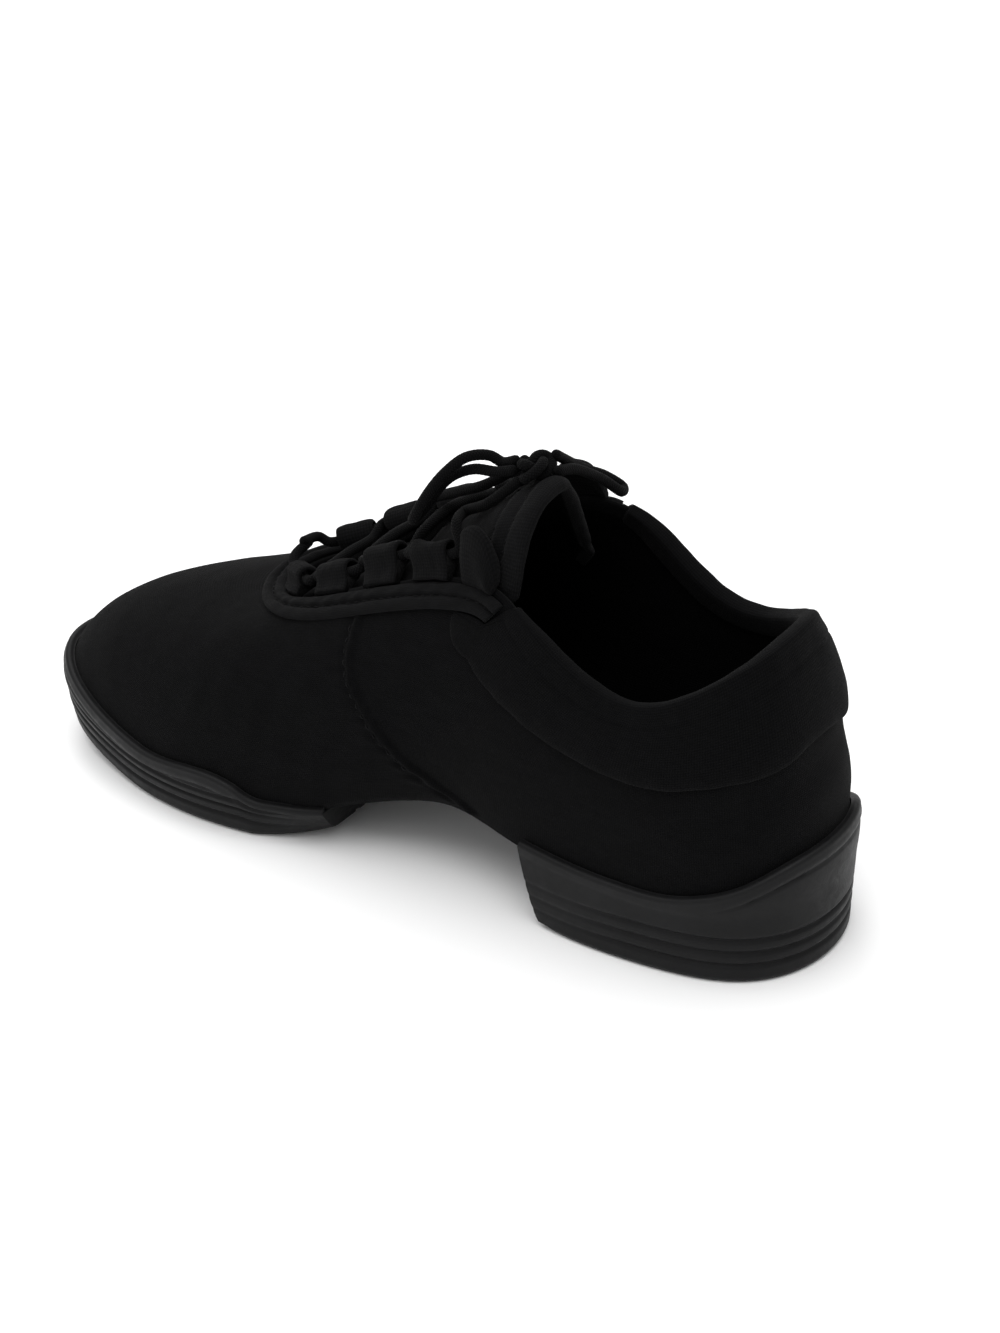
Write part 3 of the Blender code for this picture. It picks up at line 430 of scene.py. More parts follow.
def tube(name, s, material, merge, ended=True):
    """A body round whose length the grid's columns run, with flat ends if so told."""
    rows, columns = s.shape[:2]
    faces = [tuple(f) for f in grid_faces(rows, columns, wrap_columns=True)]
    if ended:
        faces += [tuple(range(r * columns, (r + 1) * columns)) for r in (0, rows - 1)]
    piece = new_mesh(name, s.reshape(-1, 3), faces, material, grid_uv(s).reshape(-1, 2))
    weld(piece, merge)
    return piece


def closed_section(name, s, material, merge):
    """A body through closed sections, its ends closed towards their middles."""
    rows, columns = s.shape[:2]
    wrap = np.concatenate([s, s[:, :1]], 1)
    uv = grid_uv(wrap)
    verts = list(wrap.reshape(-1, 3))
    uvs = list(uv.reshape(-1, 2))
    faces = [tuple(f) for f in grid_faces(rows, columns + 1)]
    for r in (0, rows - 1):
        verts.append(s[r].mean(0))
        uvs.append(uv[r, 0])
        for j in range(columns):
            a = r * (columns + 1) + j
            faces.append((a, len(verts) - 1, a + 1)[::1 if r == 0 else -1])
    piece = new_mesh(name, verts, faces, material, np.array(uvs))
    weld(piece, merge)
    return piece


def outward(p, centre=None):
    """Normals of a grid of points, away from each row's middle."""
    centre = p.mean(1, keepdims=True) if centre is None else centre
    n = unit(np.cross(np.gradient(p, axis=1), np.gradient(p, axis=0)))
    return n * np.sign(((p - centre) * n).sum(2).mean())


def between(a, b, start, end, t):
    return (end - t) / (end - start) * a + (t - start) / (end - start) * b


def spline_through(points, per_step):
    """Smooth open line that passes through the given points."""
    points = np.asarray(points, float)
    line = np.vstack([2 * points[0] - points[1], points, 2 * points[-1] - points[-2]])
    result = []
    for four in zip(line, line[1:], line[2:], line[3:]):
        knots = [0.0]
        for a, b in zip(four, four[1:]):
            knots.append(knots[-1] + np.linalg.norm(b - a) ** .5 + 1e-9)
        for t in knots[1] + (knots[2] - knots[1]) * np.arange(per_step) / per_step:
            level = four
            for wide in (1, 2):
                level = [between(level[k], level[k + 1], knots[k], knots[k + wide], t)
                         for k in range(len(level) - 1)]
            result.append(between(*level, knots[1], knots[2], t))
    return np.array(result + [points[-1]])


def even(points, spacing):
    """The line again, with points an even distance apart."""
    passed = gone(points)
    count = max(3, int(round(passed[-1] / spacing)) + 1)
    want = np.linspace(0, passed[-1], count)
    return np.stack([np.interp(want, passed, points[:, k]) for k in range(3)], 1)


def frames(points):
    """Directions across and over along a line, without twist."""
    steps = unit(np.diff(points, axis=0))
    ahead = unit(np.vstack([steps[:1], steps]) + np.vstack([steps, steps[-1:]]))
    across = np.cross(ahead[0], [0, 0, 1.0])
    if np.linalg.norm(across) < 1e-3:
        across = np.cross(ahead[0], [0, 1.0, 0])
    sides, tops = [], []
    for forward in ahead:
        across = unit(across - forward * (across @ forward))
        sides.append(across)
        tops.append(np.cross(forward, across))
    return np.array(sides), np.array(tops)


PLAITS = 4
PLAIT_PITCH = 1.05
PLAIT_RIPPLE = .035
CORD_AROUND = 14


def cord_sections(points, size):
    """Round sections along a line, with the plaits of a braid raised as a low ripple."""
    side, over = frames(points)
    turn = np.arange(CORD_AROUND) / CORD_AROUND * 2 * np.pi
    wound = gone(points)[:, None] * 2 * np.pi / (size * PLAIT_PITCH) / 2
    a, b = turn[None] + wound, turn[None] - wound
    radius = size / 2 * (1 + PLAIT_RIPPLE * (np.cos(a * PLAITS) * np.cos(b * PLAITS)))
    return points[:, None] + side[:, None] * (np.cos(turn)[None] * radius)[..., None] \
        + over[:, None] * (np.sin(turn)[None] * radius)[..., None]


def round_ends(sections, size, steps=4):
    """Adds a dome to both ends of a cord."""
    def dome(first, following):
        middle = first.mean(0)
        back = unit(middle - following.mean(0))
        rings = []
        for k in range(steps, 0, -1):
            angle = np.pi / 2 * k / steps * .96
            rings.append(middle + (first - middle) * np.cos(angle) + back * size / 2 * np.sin(angle))
        return rings
    return np.array(dome(sections[0], sections[1]) + list(sections)
                    + dome(sections[-1], sections[-2])[::-1])


# Materials.
class Nodes:
    """Small helper that wires a material's shader nodes."""

    def __init__(self, name):
        self.material = bpy.data.materials.new(name)
        self.material.use_nodes = True
        self.tree = self.material.node_tree
        self.shader = self.tree.nodes["Principled BSDF"]

    def add(self, kind, **settings):
        node = self.tree.nodes.new(kind)
        for key, value in settings.items():
            setattr(node, key, value)
        return node

    def link(self, a, b):
        self.tree.links.new(a, b)

    def set(self, node, *pairs):
        for key, value in pairs:
            node.inputs[key].default_value = value

    def finish(self, colour, rough, bump, *constants):
        for key, value in (("Base Color", colour), ("Roughness", rough), ("Normal", bump)):
            if value is not None:
                self.link(value, self.shader.inputs[key])
        self.set(self.shader, *constants)
        return self.material

    def math(self, operation, a, b=None, clamp=False):
        node = self.add("ShaderNodeMath", operation=operation, use_clamp=clamp)
        for socket, value in zip(node.inputs, (a, b)):
            if isinstance(value, (int, float)):
                socket.default_value = value
            elif value is not None:
                self.link(value, socket)
        return node.outputs[0]

    def mix(self, first, *others):
        """Sum of values, each with its weight."""
        total = self.math("MULTIPLY", *first)
        for pair in others:
            total = self.math("ADD", total, self.math("MULTIPLY", *pair))
        return total

    def noise(self, scale, detail=3, rough=.55, vector=None, distortion=0.0):
        node = self.add("ShaderNodeTexNoise")
        self.set(node, ("Scale", scale), ("Detail", detail), ("Roughness", rough), ("Distortion", distortion))
        if vector is not None:
            self.link(vector, node.inputs["Vector"])
        return node.outputs[0]

    def place(self, kind):
        return self.add("ShaderNodeTexCoord").outputs[kind]

    def ramp(self, value, *stops):
        node = self.add("ShaderNodeValToRGB")
        node.color_ramp.elements.remove(node.color_ramp.elements[1])
        for k, (place, colour) in enumerate(stops):
            element = node.color_ramp.elements[0] if k == 0 else node.color_ramp.elements.new(place)
            element.position = place
            element.color = (*colour, 1)
        self.link(value, node.inputs[0])
        return node.outputs[0]

    def spread(self, value, low, high, to_low, to_high):
        node = self.add("ShaderNodeMapRange")
        self.set(node, ("From Min", low), ("From Max", high), ("To Min", to_low), ("To Max", to_high))
        self.link(value, node.inputs["Value"])
        return node.outputs[0]

    def bump(self, height, strength, distance, below=None):
        node = self.add("ShaderNodeBump")
        self.set(node, ("Strength", strength), ("Distance", distance))
        self.link(height, node.inputs["Height"])
        if below is not None:
            self.link(below, node.inputs["Normal"])
        return node.outputs[0]

    def weave(self, pitch, wander=.25):
        """Height of a plain weave: threads that go over and under each other, with uneven spacing."""
        split = self.add("ShaderNodeSeparateXYZ")
        self.link(self.place("UV"), split.inputs[0])
        slow = self.noise(260, 2)
        sines = []
        for axis in (0, 1):
            turns = self.math("MULTIPLY", split.outputs[axis], np.pi / pitch)
            turns = self.math("ADD", turns, self.math("MULTIPLY", slow, wander * 6))
            sines.append(self.math("SINE", turns))
        check = self.math("MULTIPLY", sines[0], sines[1])
        check = self.math("ADD", self.math("MULTIPLY", check, .5), .5, clamp=True)
        warp = self.math("MULTIPLY", self.math("ABSOLUTE", sines[0]), check)
        weft = self.math("MULTIPLY", self.math("ABSOLUTE", sines[1]), self.math("SUBTRACT", 1.0, check))
        return self.math("MAXIMUM", warp, weft)


def cloth(name, dark, light, pitch=.00062, rough=.92, sheen=.02):
    """Cotton canvas: weave, uneven dye, slight fuzz."""
    n = Nodes(name)
    height = n.weave(pitch)
    broad = n.noise(38, 3)
    fine = n.noise(900, 3, .7)
    mixed = n.mix((height, .45), (broad, .35), (fine, .35))
    colour = n.ramp(mixed, (.30, dark), (.62, tuple(np.add(dark, light) / 2)), (.92, light))
    soft = n.bump(n.noise(160, 4, .6), .25, .0006)
    woven = n.bump(height, .55, .00022, soft)
    return n.finish(colour, n.spread(fine, .2, .8, rough - .08, min(rough + .06, 1)),
                    n.bump(fine, .35, .0001, woven),
                    ("Sheen Weight", sheen), ("Sheen Roughness", .45), ("Specular IOR Level", .03))


def rubber(name, dark, light, rough=.5):
    """Moulded rubber: fine pebbled skin, dust in its hollows, worn edges."""
    n = Nodes(name)
    place = n.place("Object")
    broad = n.noise(45, 4, .6, place)
    fine = n.noise(1600, 2, .6, place)
    scuff = n.noise(220, 5, .75, place, 1.2)
    colour = n.ramp(n.mix((broad, .6), (scuff, .4)), (.30, dark), (.70, light))
    return n.finish(colour, n.spread(scuff, .3, .75, rough - .10, rough + .14),
                    n.bump(scuff, .10, .0003, n.bump(fine, .22, .0001)), ("Specular IOR Level", .12))


def braid(name, dark, light, size):
    """Round braided lace: crossing plaits with a soft shine along the fibres."""
    n = Nodes(name)
    split = n.add("ShaderNodeSeparateXYZ")
    n.link(n.place("UV"), split.inputs[0])
    onward = n.math("MULTIPLY", split.outputs[0], PLAITS * np.pi / (size * PLAIT_PITCH))
    around = n.math("MULTIPLY", split.outputs[1], PLAITS * 2 / size)
    one = n.math("SINE", n.math("ADD", onward, around))
    two = n.math("SINE", n.math("SUBTRACT", onward, around))
    height = n.math("MULTIPLY", n.math("ABSOLUTE", one), n.math("ABSOLUTE", two))
    fine = n.noise(1500, 3, .7)
    colour = n.ramp(n.mix((height, .6), (fine, .4)), (.15, dark), (.8, light))
    return n.finish(colour, n.spread(fine, .2, .8, .68, .85),
                    n.bump(fine, .4, .0001, n.bump(height, .7, .00035)),
                    ("Sheen Weight", .01), ("Specular IOR Level", .05))


def thread(name, colour):
    """Sewing thread: twisted, a little brighter than the cloth."""
    n = Nodes(name)
    twist = n.add("ShaderNodeTexWave", wave_type="BANDS", bands_direction="DIAGONAL")
    n.set(twist, ("Scale", 900))
    n.link(n.place("Object"), twist.inputs["Vector"])
    return n.finish(n.ramp(twist.outputs[1], (0, tuple(np.multiply(colour, .6))), (1, colour)), None,
                    n.bump(twist.outputs[1], .4, .00015), ("Roughness", .7), ("Specular IOR Level", .08))


CANVAS = cloth("canvas_cloth", (.0012, .0012, .0013), (.0046, .0046, .0049))
CUFF_CLOTH = cloth("cuff_cloth", (.0011, .0011, .0012), (.0043, .0043, .0046))
PANEL_CLOTH = cloth("eyestay_cloth", (.0023, .0023, .0024), (.0080, .0080, .0084))
TAB_CLOTH = cloth("tab_webbing", (.0017, .0017, .0018), (.0062, .0062, .0065), pitch=.0009)
TONGUE_CLOTH = cloth("tongue_cloth", (.0021, .0021, .0022), (.0076, .0076, .0080))
LINING = cloth("lining_cloth", (.0013, .0013, .0013), (.0044, .0044, .0046), pitch=.0010, sheen=0)
FOOTBED = cloth("footbed_cloth", (.0008, .0008, .0009), (.0028, .0028, .0030), pitch=.0008, sheen=0)
RUBBER_SKIN = rubber("sole_rubber", (.0040, .0040, .0042), (.0088, .0088, .0092))
LACE_BRAID = braid("lace_braid", (.0005, .0005, .0006), (.0032, .0032, .0034), LACE)
THREAD = thread("sewing_thread", (.0060, .0060, .0064))


# Camera, floor and light.
def look_from(location, target, roll=0.0):
    """World matrix of something at a location that faces a target, rolled about its own sight line."""
    back = unit(np.subtract(location, target))
    right = unit(np.cross([0, 0, 1.0], back))
    up = np.cross(back, right)
    turned = right * np.cos(roll) + up * np.sin(roll), up * np.cos(roll) - right * np.sin(roll)
    matrix = Matrix.Identity(4)
    for k, axis in enumerate((*turned, back)):
        for i in range(3):
            matrix[i][k] = float(axis[i])
    matrix.translation = Vector([float(x) for x in location])
    return matrix


def placed(name, data, matrix=None):
    thing = bpy.data.objects.new(name, data)
    if matrix is not None:
        thing.matrix_world = matrix
    bpy.context.scene.collection.objects.link(thing)
    return thing


AZIMUTH, ELEVATION, ROLL = np.radians([218.0, 31.0, -3.5])
DISTANCE = 0.760
FOCAL_PIXELS = 2780
TARGET = np.array([0.089, 0, 0.040])
TARGET_PIXEL = (446, 691)
PHOTO = (1000, 1333)
SENSOR = 36


def make_camera():
    back = np.array([np.sin(AZIMUTH) * np.cos(ELEVATION), -np.cos(AZIMUTH) * np.cos(ELEVATION),
                     np.sin(ELEVATION)])
    data = bpy.data.cameras.new("camera")
    data.sensor_fit = "AUTO"
    data.sensor_width = SENSOR
    data.lens = FOCAL_PIXELS / PHOTO[1] * SENSOR
    data.shift_x = (PHOTO[0] / 2 - TARGET_PIXEL[0]) / PHOTO[1]
    data.shift_y = (TARGET_PIXEL[1] - PHOTO[1] / 2) / PHOTO[1]
    data.clip_start = 0.01
    data.clip_end = 50
    bpy.context.scene.camera = placed("camera", data, look_from(TARGET + back * DISTANCE, TARGET, ROLL))


LIT_MIDDLE = np.array([0.09, 0, 0.04])
WORLD_STRENGTH = .5
SUN_STRENGTH = 2.4
SUN_SPREAD = 75
SUN_WAY = (.12, .04, 1)
# Area lights: name, step from the middle, size, power.
LAMPS = [("key", (-.45, .35, 1.1), (.9, .9), 4), ("fill", (.2, 1.2, .5), (1.2, .8), 1.5),
         ("rim", (.9, -.9, .8), (.8, .8), 5)]
FLOOR_HALF = 6.0


def make_stage():
    world = bpy.data.worlds.new("world")
    bpy.context.scene.world = world
    world.use_nodes = True
    world.node_tree.nodes["Background"].inputs[0].default_value = (1, 1, 1, 1)
    world.node_tree.nodes["Background"].inputs[1].default_value = WORLD_STRENGTH
    overhead = bpy.data.lights.new("overhead", "SUN")
    overhead.energy = SUN_STRENGTH
    overhead.angle = np.radians(SUN_SPREAD)
    placed("overhead", overhead, look_from(LIT_MIDDLE + SUN_WAY, LIT_MIDDLE))
    for name, step, size, power in LAMPS:
        lamp = bpy.data.lights.new(name, "AREA")
        lamp.shape = "RECTANGLE"
        lamp.size, lamp.size_y = size
        lamp.energy = power
        placed(name, lamp, look_from(LIT_MIDDLE + step, LIT_MIDDLE))
    n = Nodes("floor_white")
    white = n.finish(n.ramp(n.noise(60, 2), (0, (.86, .86, .86)), (1, (.90, .90, .90))), None, None,
                     ("Roughness", .8))
    size = FLOOR_HALF
    data = bpy.data.meshes.new("floor")
    data.from_pydata([(-size, -size, 0), (size, -size, 0), (size, size, 0), (-size, size, 0)], [],
                     [(0, 1, 2, 3)])
    data.materials.append(white)
    floor = placed("floor", data)


make_camera()
make_stage()


# The quarter seam: its place along the shoe by height.
SEAM = np.array([(.060, .026), (.070, .030), (.078, .036), (.084, .044), (.089, .053), (.0925, .059),
                 (.094, .066), (.0930, .079), (.0920, .100)])
SEAM_SLOPE = np.gradient(SEAM[:, 0], SEAM[:, 1])
LAP = .00075
LAP_ROLL = .00035
STITCH_BACK = .0024
STITCH_DENT = .00045
PUCKER = .00022
PUCKER_PITCH = .0042
CREASE = .00020
CREASE_PITCH = .0105
COUNTER_FOLD = .00030
COUNTER_PITCH = .017
LINING_SOFT = .00025
LEVEL_OF_ROUND = 30


def seam_at(z):
    """Place of the seam at a height, and the stretch of a level step to a step along the cloth."""
    x = np.interp(z, SEAM[:, 1], SEAM[:, 0])
    return x, np.sqrt(1 + np.interp(z, SEAM[:, 1], SEAM_SLOPE) ** 2)


def canvas_relief(p):
    """How far the cloth stands off its smooth surface: lapped panel, its stitched dent, soft creases."""
    x, z = p[..., 0], p[..., 2]
    seam, stretch = seam_at(z)
    s = (x - seam) / stretch
    relief = LAP * window(-.0003, .0003, .010, .030, s) + LAP_ROLL * bell(s, .0009, .0008)
    relief = relief - STITCH_DENT * bell(s, STITCH_BACK, .0006)
    relief = relief + PUCKER * bell(s, .0026, .0022) * ripple(z, PUCKER_PITCH)
    flex = window(.060, .095, .130, .165, x) * window(.012, .022, .045, .062, z)
    lines = ripple(x * .92 + z * .35, CREASE_PITCH, 2.2 * waves(p, .045, 3, 2))
    relief = relief + CREASE * flex * lines * (.45 + .55 * waves(p, .030, 5, 2))
    relief = relief + layers(p, (.00030, .042, 11, 3), (.00006, .009, 12, 2))
    heel = smooth(.030, .0, x) * smooth(.030, .040, z)
    return relief + COUNTER_FOLD * heel * ripple(z * .8 + x * .6, COUNTER_PITCH, waves(p, .04, 8, 2))


def make_canvas():
    """The shell: fine cloth outside, plainer lining inside, turned under at the foot."""
    u = np.arange(CANVAS_COLUMNS) / CANVAS_COLUMNS * TURN
    uu, vv = np.meshgrid(u, np.linspace(0, 1, CANVAS_LEVELS), indexing="ij")
    base = canvas(uu, vv)
    face = base + normal(uu, vv) * canvas_relief(base)[..., None] * smooth(0, .05, vv)[..., None]
    ui, vi = np.meshgrid(u, np.linspace(1, 0, LINING_LEVELS), indexing="ij")
    lining = canvas(ui, vi)
    lining = lining - normal(ui, vi) * (WALL + LINING_SOFT * (1 + waves(lining, .02, 21, 3)))[..., None] \
        * (1 - .35 * smooth(.97, 1, vi))[..., None]
    edge, out = foot_line(u)
    other = foot_line(other_side(u))[0]
    station = np.minimum(u, TURN - u)
    closed = (station > ARCH_FROM) & (station < ARCH_TO)

    def under(reach, lift):
        """A line under the foot: a margin turned in, and where the arch is closed, on to the middle."""
        line = edge - out * MARGIN * reach
        line[closed] = edge[closed] + (other[closed] - edge[closed]) * .5 * reach
        line[:, 2] = bed(line[:, 0], line[:, 1]) + lift
        return line
    inside = [under(reach, WALL) for reach in (.25, .6, 1)]
    outside = [under(reach, 0) for reach in (1, .8, .6, .4, .2)]
    section = np.concatenate([face, lining, np.stack(inside, 1), np.stack(outside, 1)], 1)
    columns = section.shape[1]
    wrap = np.concatenate([section, section[:1]], 0)
    upward = added(np.linalg.norm(np.diff(section, axis=1), axis=2).mean(0))
    uv = np.stack(np.meshgrid(gone(wrap[:, LEVEL_OF_ROUND]), upward, indexing="ij"), -1)
    faces = grid_faces(CANVAS_COLUMNS + 1, columns, wrap_columns=True)
    piece = new_mesh("canvas_upper", wrap.reshape(-1, 3), faces, CANVAS, uv.reshape(-1, 2))
    piece.data.materials.append(LINING)
    row = np.arange(len(faces)) % columns
    lined = (row >= CANVAS_LEVELS + 1) & (row < CANVAS_LEVELS + LINING_LEVELS + 2)
    piece.data.polygons.foreach_set("material_index", lined.astype(int))
    weld(piece, MERGE)
    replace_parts(piece, "upper")


LIP_DROP = .0006
LIP_FLAT = .38
LIP_TURNS = (35, 70, 105, 140)
GROOVE_HALF = .00055
BEAD_GROOVE = .00045
BEAD_SWELL = .00025
TREAD_DEPTH = .0009
TREAD_MARGIN = (.0030, .0042)
TREAD_COUNT = 74
BACK_COUNT = 12
# How much, and how strongly, the rows of a sole's side crowd towards its foot.
CROWDED = .65
CROWDING = 1.35
RIB_PITCH = .0052
RIB_SWAY = .0026
RIB_WAVE = .012
RING_PITCH = .0036
PIVOT = (.150, .004)


def floor_height(x):
    toe = np.clip((x - along(TREAD_TOE)) / (along(1.0) - along(TREAD_TOE)), 0, 1)
    arch = np.clip((along(TREAD_BALL) - x) / (along(TREAD_BALL) - along(PAD_BACK)), 0, 1)
    arch = np.where(x > along(HEEL_FRONT), arch, 0)
    return TOE_SPRING * toe ** TOE_CURVE + PAD_RISE * arch ** ARCH_CURVE


def sole_side(u, flare, lean, groove_mask):
    """Half sections of a sole: up the inside of the lip, round it and down to the tread."""
    edge, out = foot_line(u)
    climb = eased(GUARD, 1, edge[:, 0])
    top = share_at_height(u, edge[:, 2] + climb)
    ground = edge + out * flare[:, None]
    ground[:, 0] += lean
    ground[:, 2] = floor_height(ground[:, 0])
    sill = edge + out * (CLEARANCE + RUBBER)
    rows = [edge + out * CLEARANCE - [0, 0, CLEARANCE]]
    rows += [skin(u, top * k / 6, CLEARANCE * .6) for k in range(1, 7)]
    way = unit(skin(u, top + .01) - skin(u, top - .01))
    drop = way * LIP_DROP
    centre = skin(u, top, CLEARANCE + RUBBER / 2) - drop
    for a in np.radians(LIP_TURNS):
        across = normal(u, top) * (-np.cos(a) * RUBBER / 2)
        rows.append(centre + across + way * (np.sin(a) * RUBBER * LIP_FLAT))
    lip = skin(u, top, CLEARANCE + RUBBER) - drop
    rise = np.maximum(edge[:, 2] - ground[:, 2], .0005)
    total = rise + climb
    shares = np.linspace(0, 1, SOLE_ROWS)
    shares = shares * (1 - CROWDED) + (1 - (1 - shares) ** CROWDING) * CROWDED
    path, heights = [], []
    for s in shares:
        h = EDGE_ROUND + (total - EDGE_ROUND) * (1 - s)
        share = np.clip(h / rise, 0, 1)[:, None]
        over = np.clip((h - rise) / np.maximum(climb, .0004), 0, 1)
        straight = ground + (sill - ground) * share + (lip - sill) * over[:, None]
        straight[:, 0] += lean * (share[:, 0] - share[:, 0] ** .4)
        bulged = skin(u, top * over, CLEARANCE + RUBBER) - drop
        path.append(straight + (bulged - straight) * (smooth(0, .7, over) * (over > 0))[:, None])
        heights.append(h)
    path, heights = evened(np.array(path), 6), np.array(heights)
    fade = np.clip(total / (GROOVES * GROOVE_PITCH + 2 * EDGE_ROUND), 0, 1)
    depth = np.zeros(heights.shape)
    for k in range(1, GROOVES + 1):
        depth += GROOVE_DEPTH * bell(heights, (k * GROOVE_PITCH + EDGE_ROUND) * fade,
                                     GROOVE_HALF * fade + .00015) * fade ** 2 * groove_mask
    bead = smooth(.007, .012, climb)
    depth += BEAD_GROOVE * bell(total - heights, .0034, .0005) * bead
    depth -= BEAD_SWELL * bell(total - heights, .0018, .0009) * bead
    rows += list(path - out[None] * depth[..., None])
    for a in np.radians([22, 45, 67]):
        rows.append(ground + [0, 0, EDGE_ROUND * (1 - np.sin(a))] - out * EDGE_ROUND * (1 - np.cos(a)))
    rows.append(ground - out * EDGE_ROUND)
    return np.stack(rows, 1)


def tread(p, forefoot):
    """How deep the tread is cut at points of the underside: wavy ribs, and rings where the ball turns."""
    x, y = p[..., 0], p[..., 1]
    cut = ripple(x + RIB_SWAY * ripple(y, RIB_WAVE), RIB_PITCH)
    if forefoot:
        away = np.hypot(x - PIVOT[0], y - PIVOT[1])
        pivot = smooth(.0165, .0150, away)
        cut = cut * (1 - pivot) + ripple(away, RING_PITCH) * pivot
    return TREAD_DEPTH * smooth(.1, .6, cut)


def make_sole(name, u, flare, lean, grooved, forefoot):
    mask = grooved(foot_line(u)[0][:, 0])
    inner = sole_side(u, flare, lean, mask)
    outer = sole_side(other_side(u), flare, lean, mask)
    start, span = inner[:, -1], outer[:, -1] - inner[:, -1]
    width = np.linalg.norm(span, axis=1)
    across, back = [], []
    for share in np.linspace(0, 1, TREAD_COUNT)[1:-1]:
        line = start + span * share
        line[:, 2] = floor_height(line[:, 0])
        line[:, 2] += tread(line, forefoot) * smooth(*TREAD_MARGIN, min(share, 1 - share) * width)
        across.append(line)
    for share in np.linspace(1, 0, BACK_COUNT)[1:-1]:
        over = inner[:, 0] + (outer[:, 0] - inner[:, 0]) * share
        over[:, 2] = bed(over[:, 0], over[:, 1]) - CLEARANCE
        back.append(over)
    s = np.concatenate([inner, np.stack(across, 1), outer[:, ::-1], np.stack(back, 1)], 1)
    piece = tube(name, s, RUBBER_SKIN, MERGE)
    piece.data.set_sharp_from_angle(angle=np.radians(50))
    return piece


def make_soles():
    u = stations((0, .5, int(20 * SOLE_FINE)), (.5, HEEL_SOLE_END, int(70 * SOLE_FINE)))
    x = foot_line(u)[0][:, 0]
    front = np.clip((x - along(BREAST_FROM)) / (x[-1] - along(BREAST_FROM)), 0, 1)
    piece = make_sole("heel_rubber", u, np.full(len(u), HEEL_FLARE), -BREAST_SLANT * front ** 2,
                      lambda x: 1 - .8 * smooth(.004, .030, x), False)
    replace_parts(piece, "heel_sole")
    u = stations((PAD_START, 7.5, int(84 * SOLE_FINE)), (7.5, SIDES, int(30 * SOLE_FINE)))
    x = foot_line(u)[0][:, 0]
    tuck = np.clip((along(TREAD_BALL) - x) / (along(TREAD_BALL) - x[0]), 0, 1)
    piece = make_sole("forefoot_rubber", u, PAD_FLARE - PAD_TUCK * tuck, 0 * u,
                      lambda x: smooth(.110, .130, x), True)
    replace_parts(piece, "forefoot_sole")


INSOLE_ROUND = .55


def make_footbed():
    u = stations((0, 1, 14), (1, 7, 70), (7, SIDES, 14))
    start, end = [edge - out * (WALL + INSOLE_PLAY)
                  for edge, out in (foot_line(u), foot_line(other_side(u)))]
    share = np.linspace(0, 1, 25)
    line = start[:, None] + (end - start)[:, None] * share[None, :, None]
    line[..., 2] = bed(line[..., 0], line[..., 1]) + WALL + CLEARANCE
    over = line[:, ::-1].copy()
    rounding = 1 - INSOLE_ROUND * (1 - window(0, .05, .95, 1, share))
    over[..., 2] += INSOLE * rounding[None] + .00025 * waves(over, .03, 31, 3)
    piece = tube("footbed", np.concatenate([line, over], 1), FOOTBED, MERGE, ended=False)
    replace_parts(piece, "insole")


# The cuff's outer face: share of its depth and of its swell, from its lower edge up.
CUFF_SECTION = [(1, .0), (1.0, .34), (.970, .64), (.91, .84), (.82, .94), (.68, 1.0), (.50, 1.0),
                (.36, .97), (.24, .90), (.14, .80), (.05, .70)]
# Its roll over the rim: rise and reach as shares of the roll, and the face of the wall that it stands from.
CUFF_OVER = [(.30, .46, 1), (.50, .26, 1), (.60, .0, 0), (.52, .20, -1), (.30, .36, -1), (-.10, .44, -1),
             (-.60, .46, -1), (-1.1, .42, -1), (-1.40, .30, -1), (-1.42, 0, -1)]
WALL_FACE = {1: CLEARANCE, 0: -WALL / 2, -1: -WALL - CLEARANCE}
CUFF_PUCKER_PITCH = .0085
CUFF_DENT = .00030


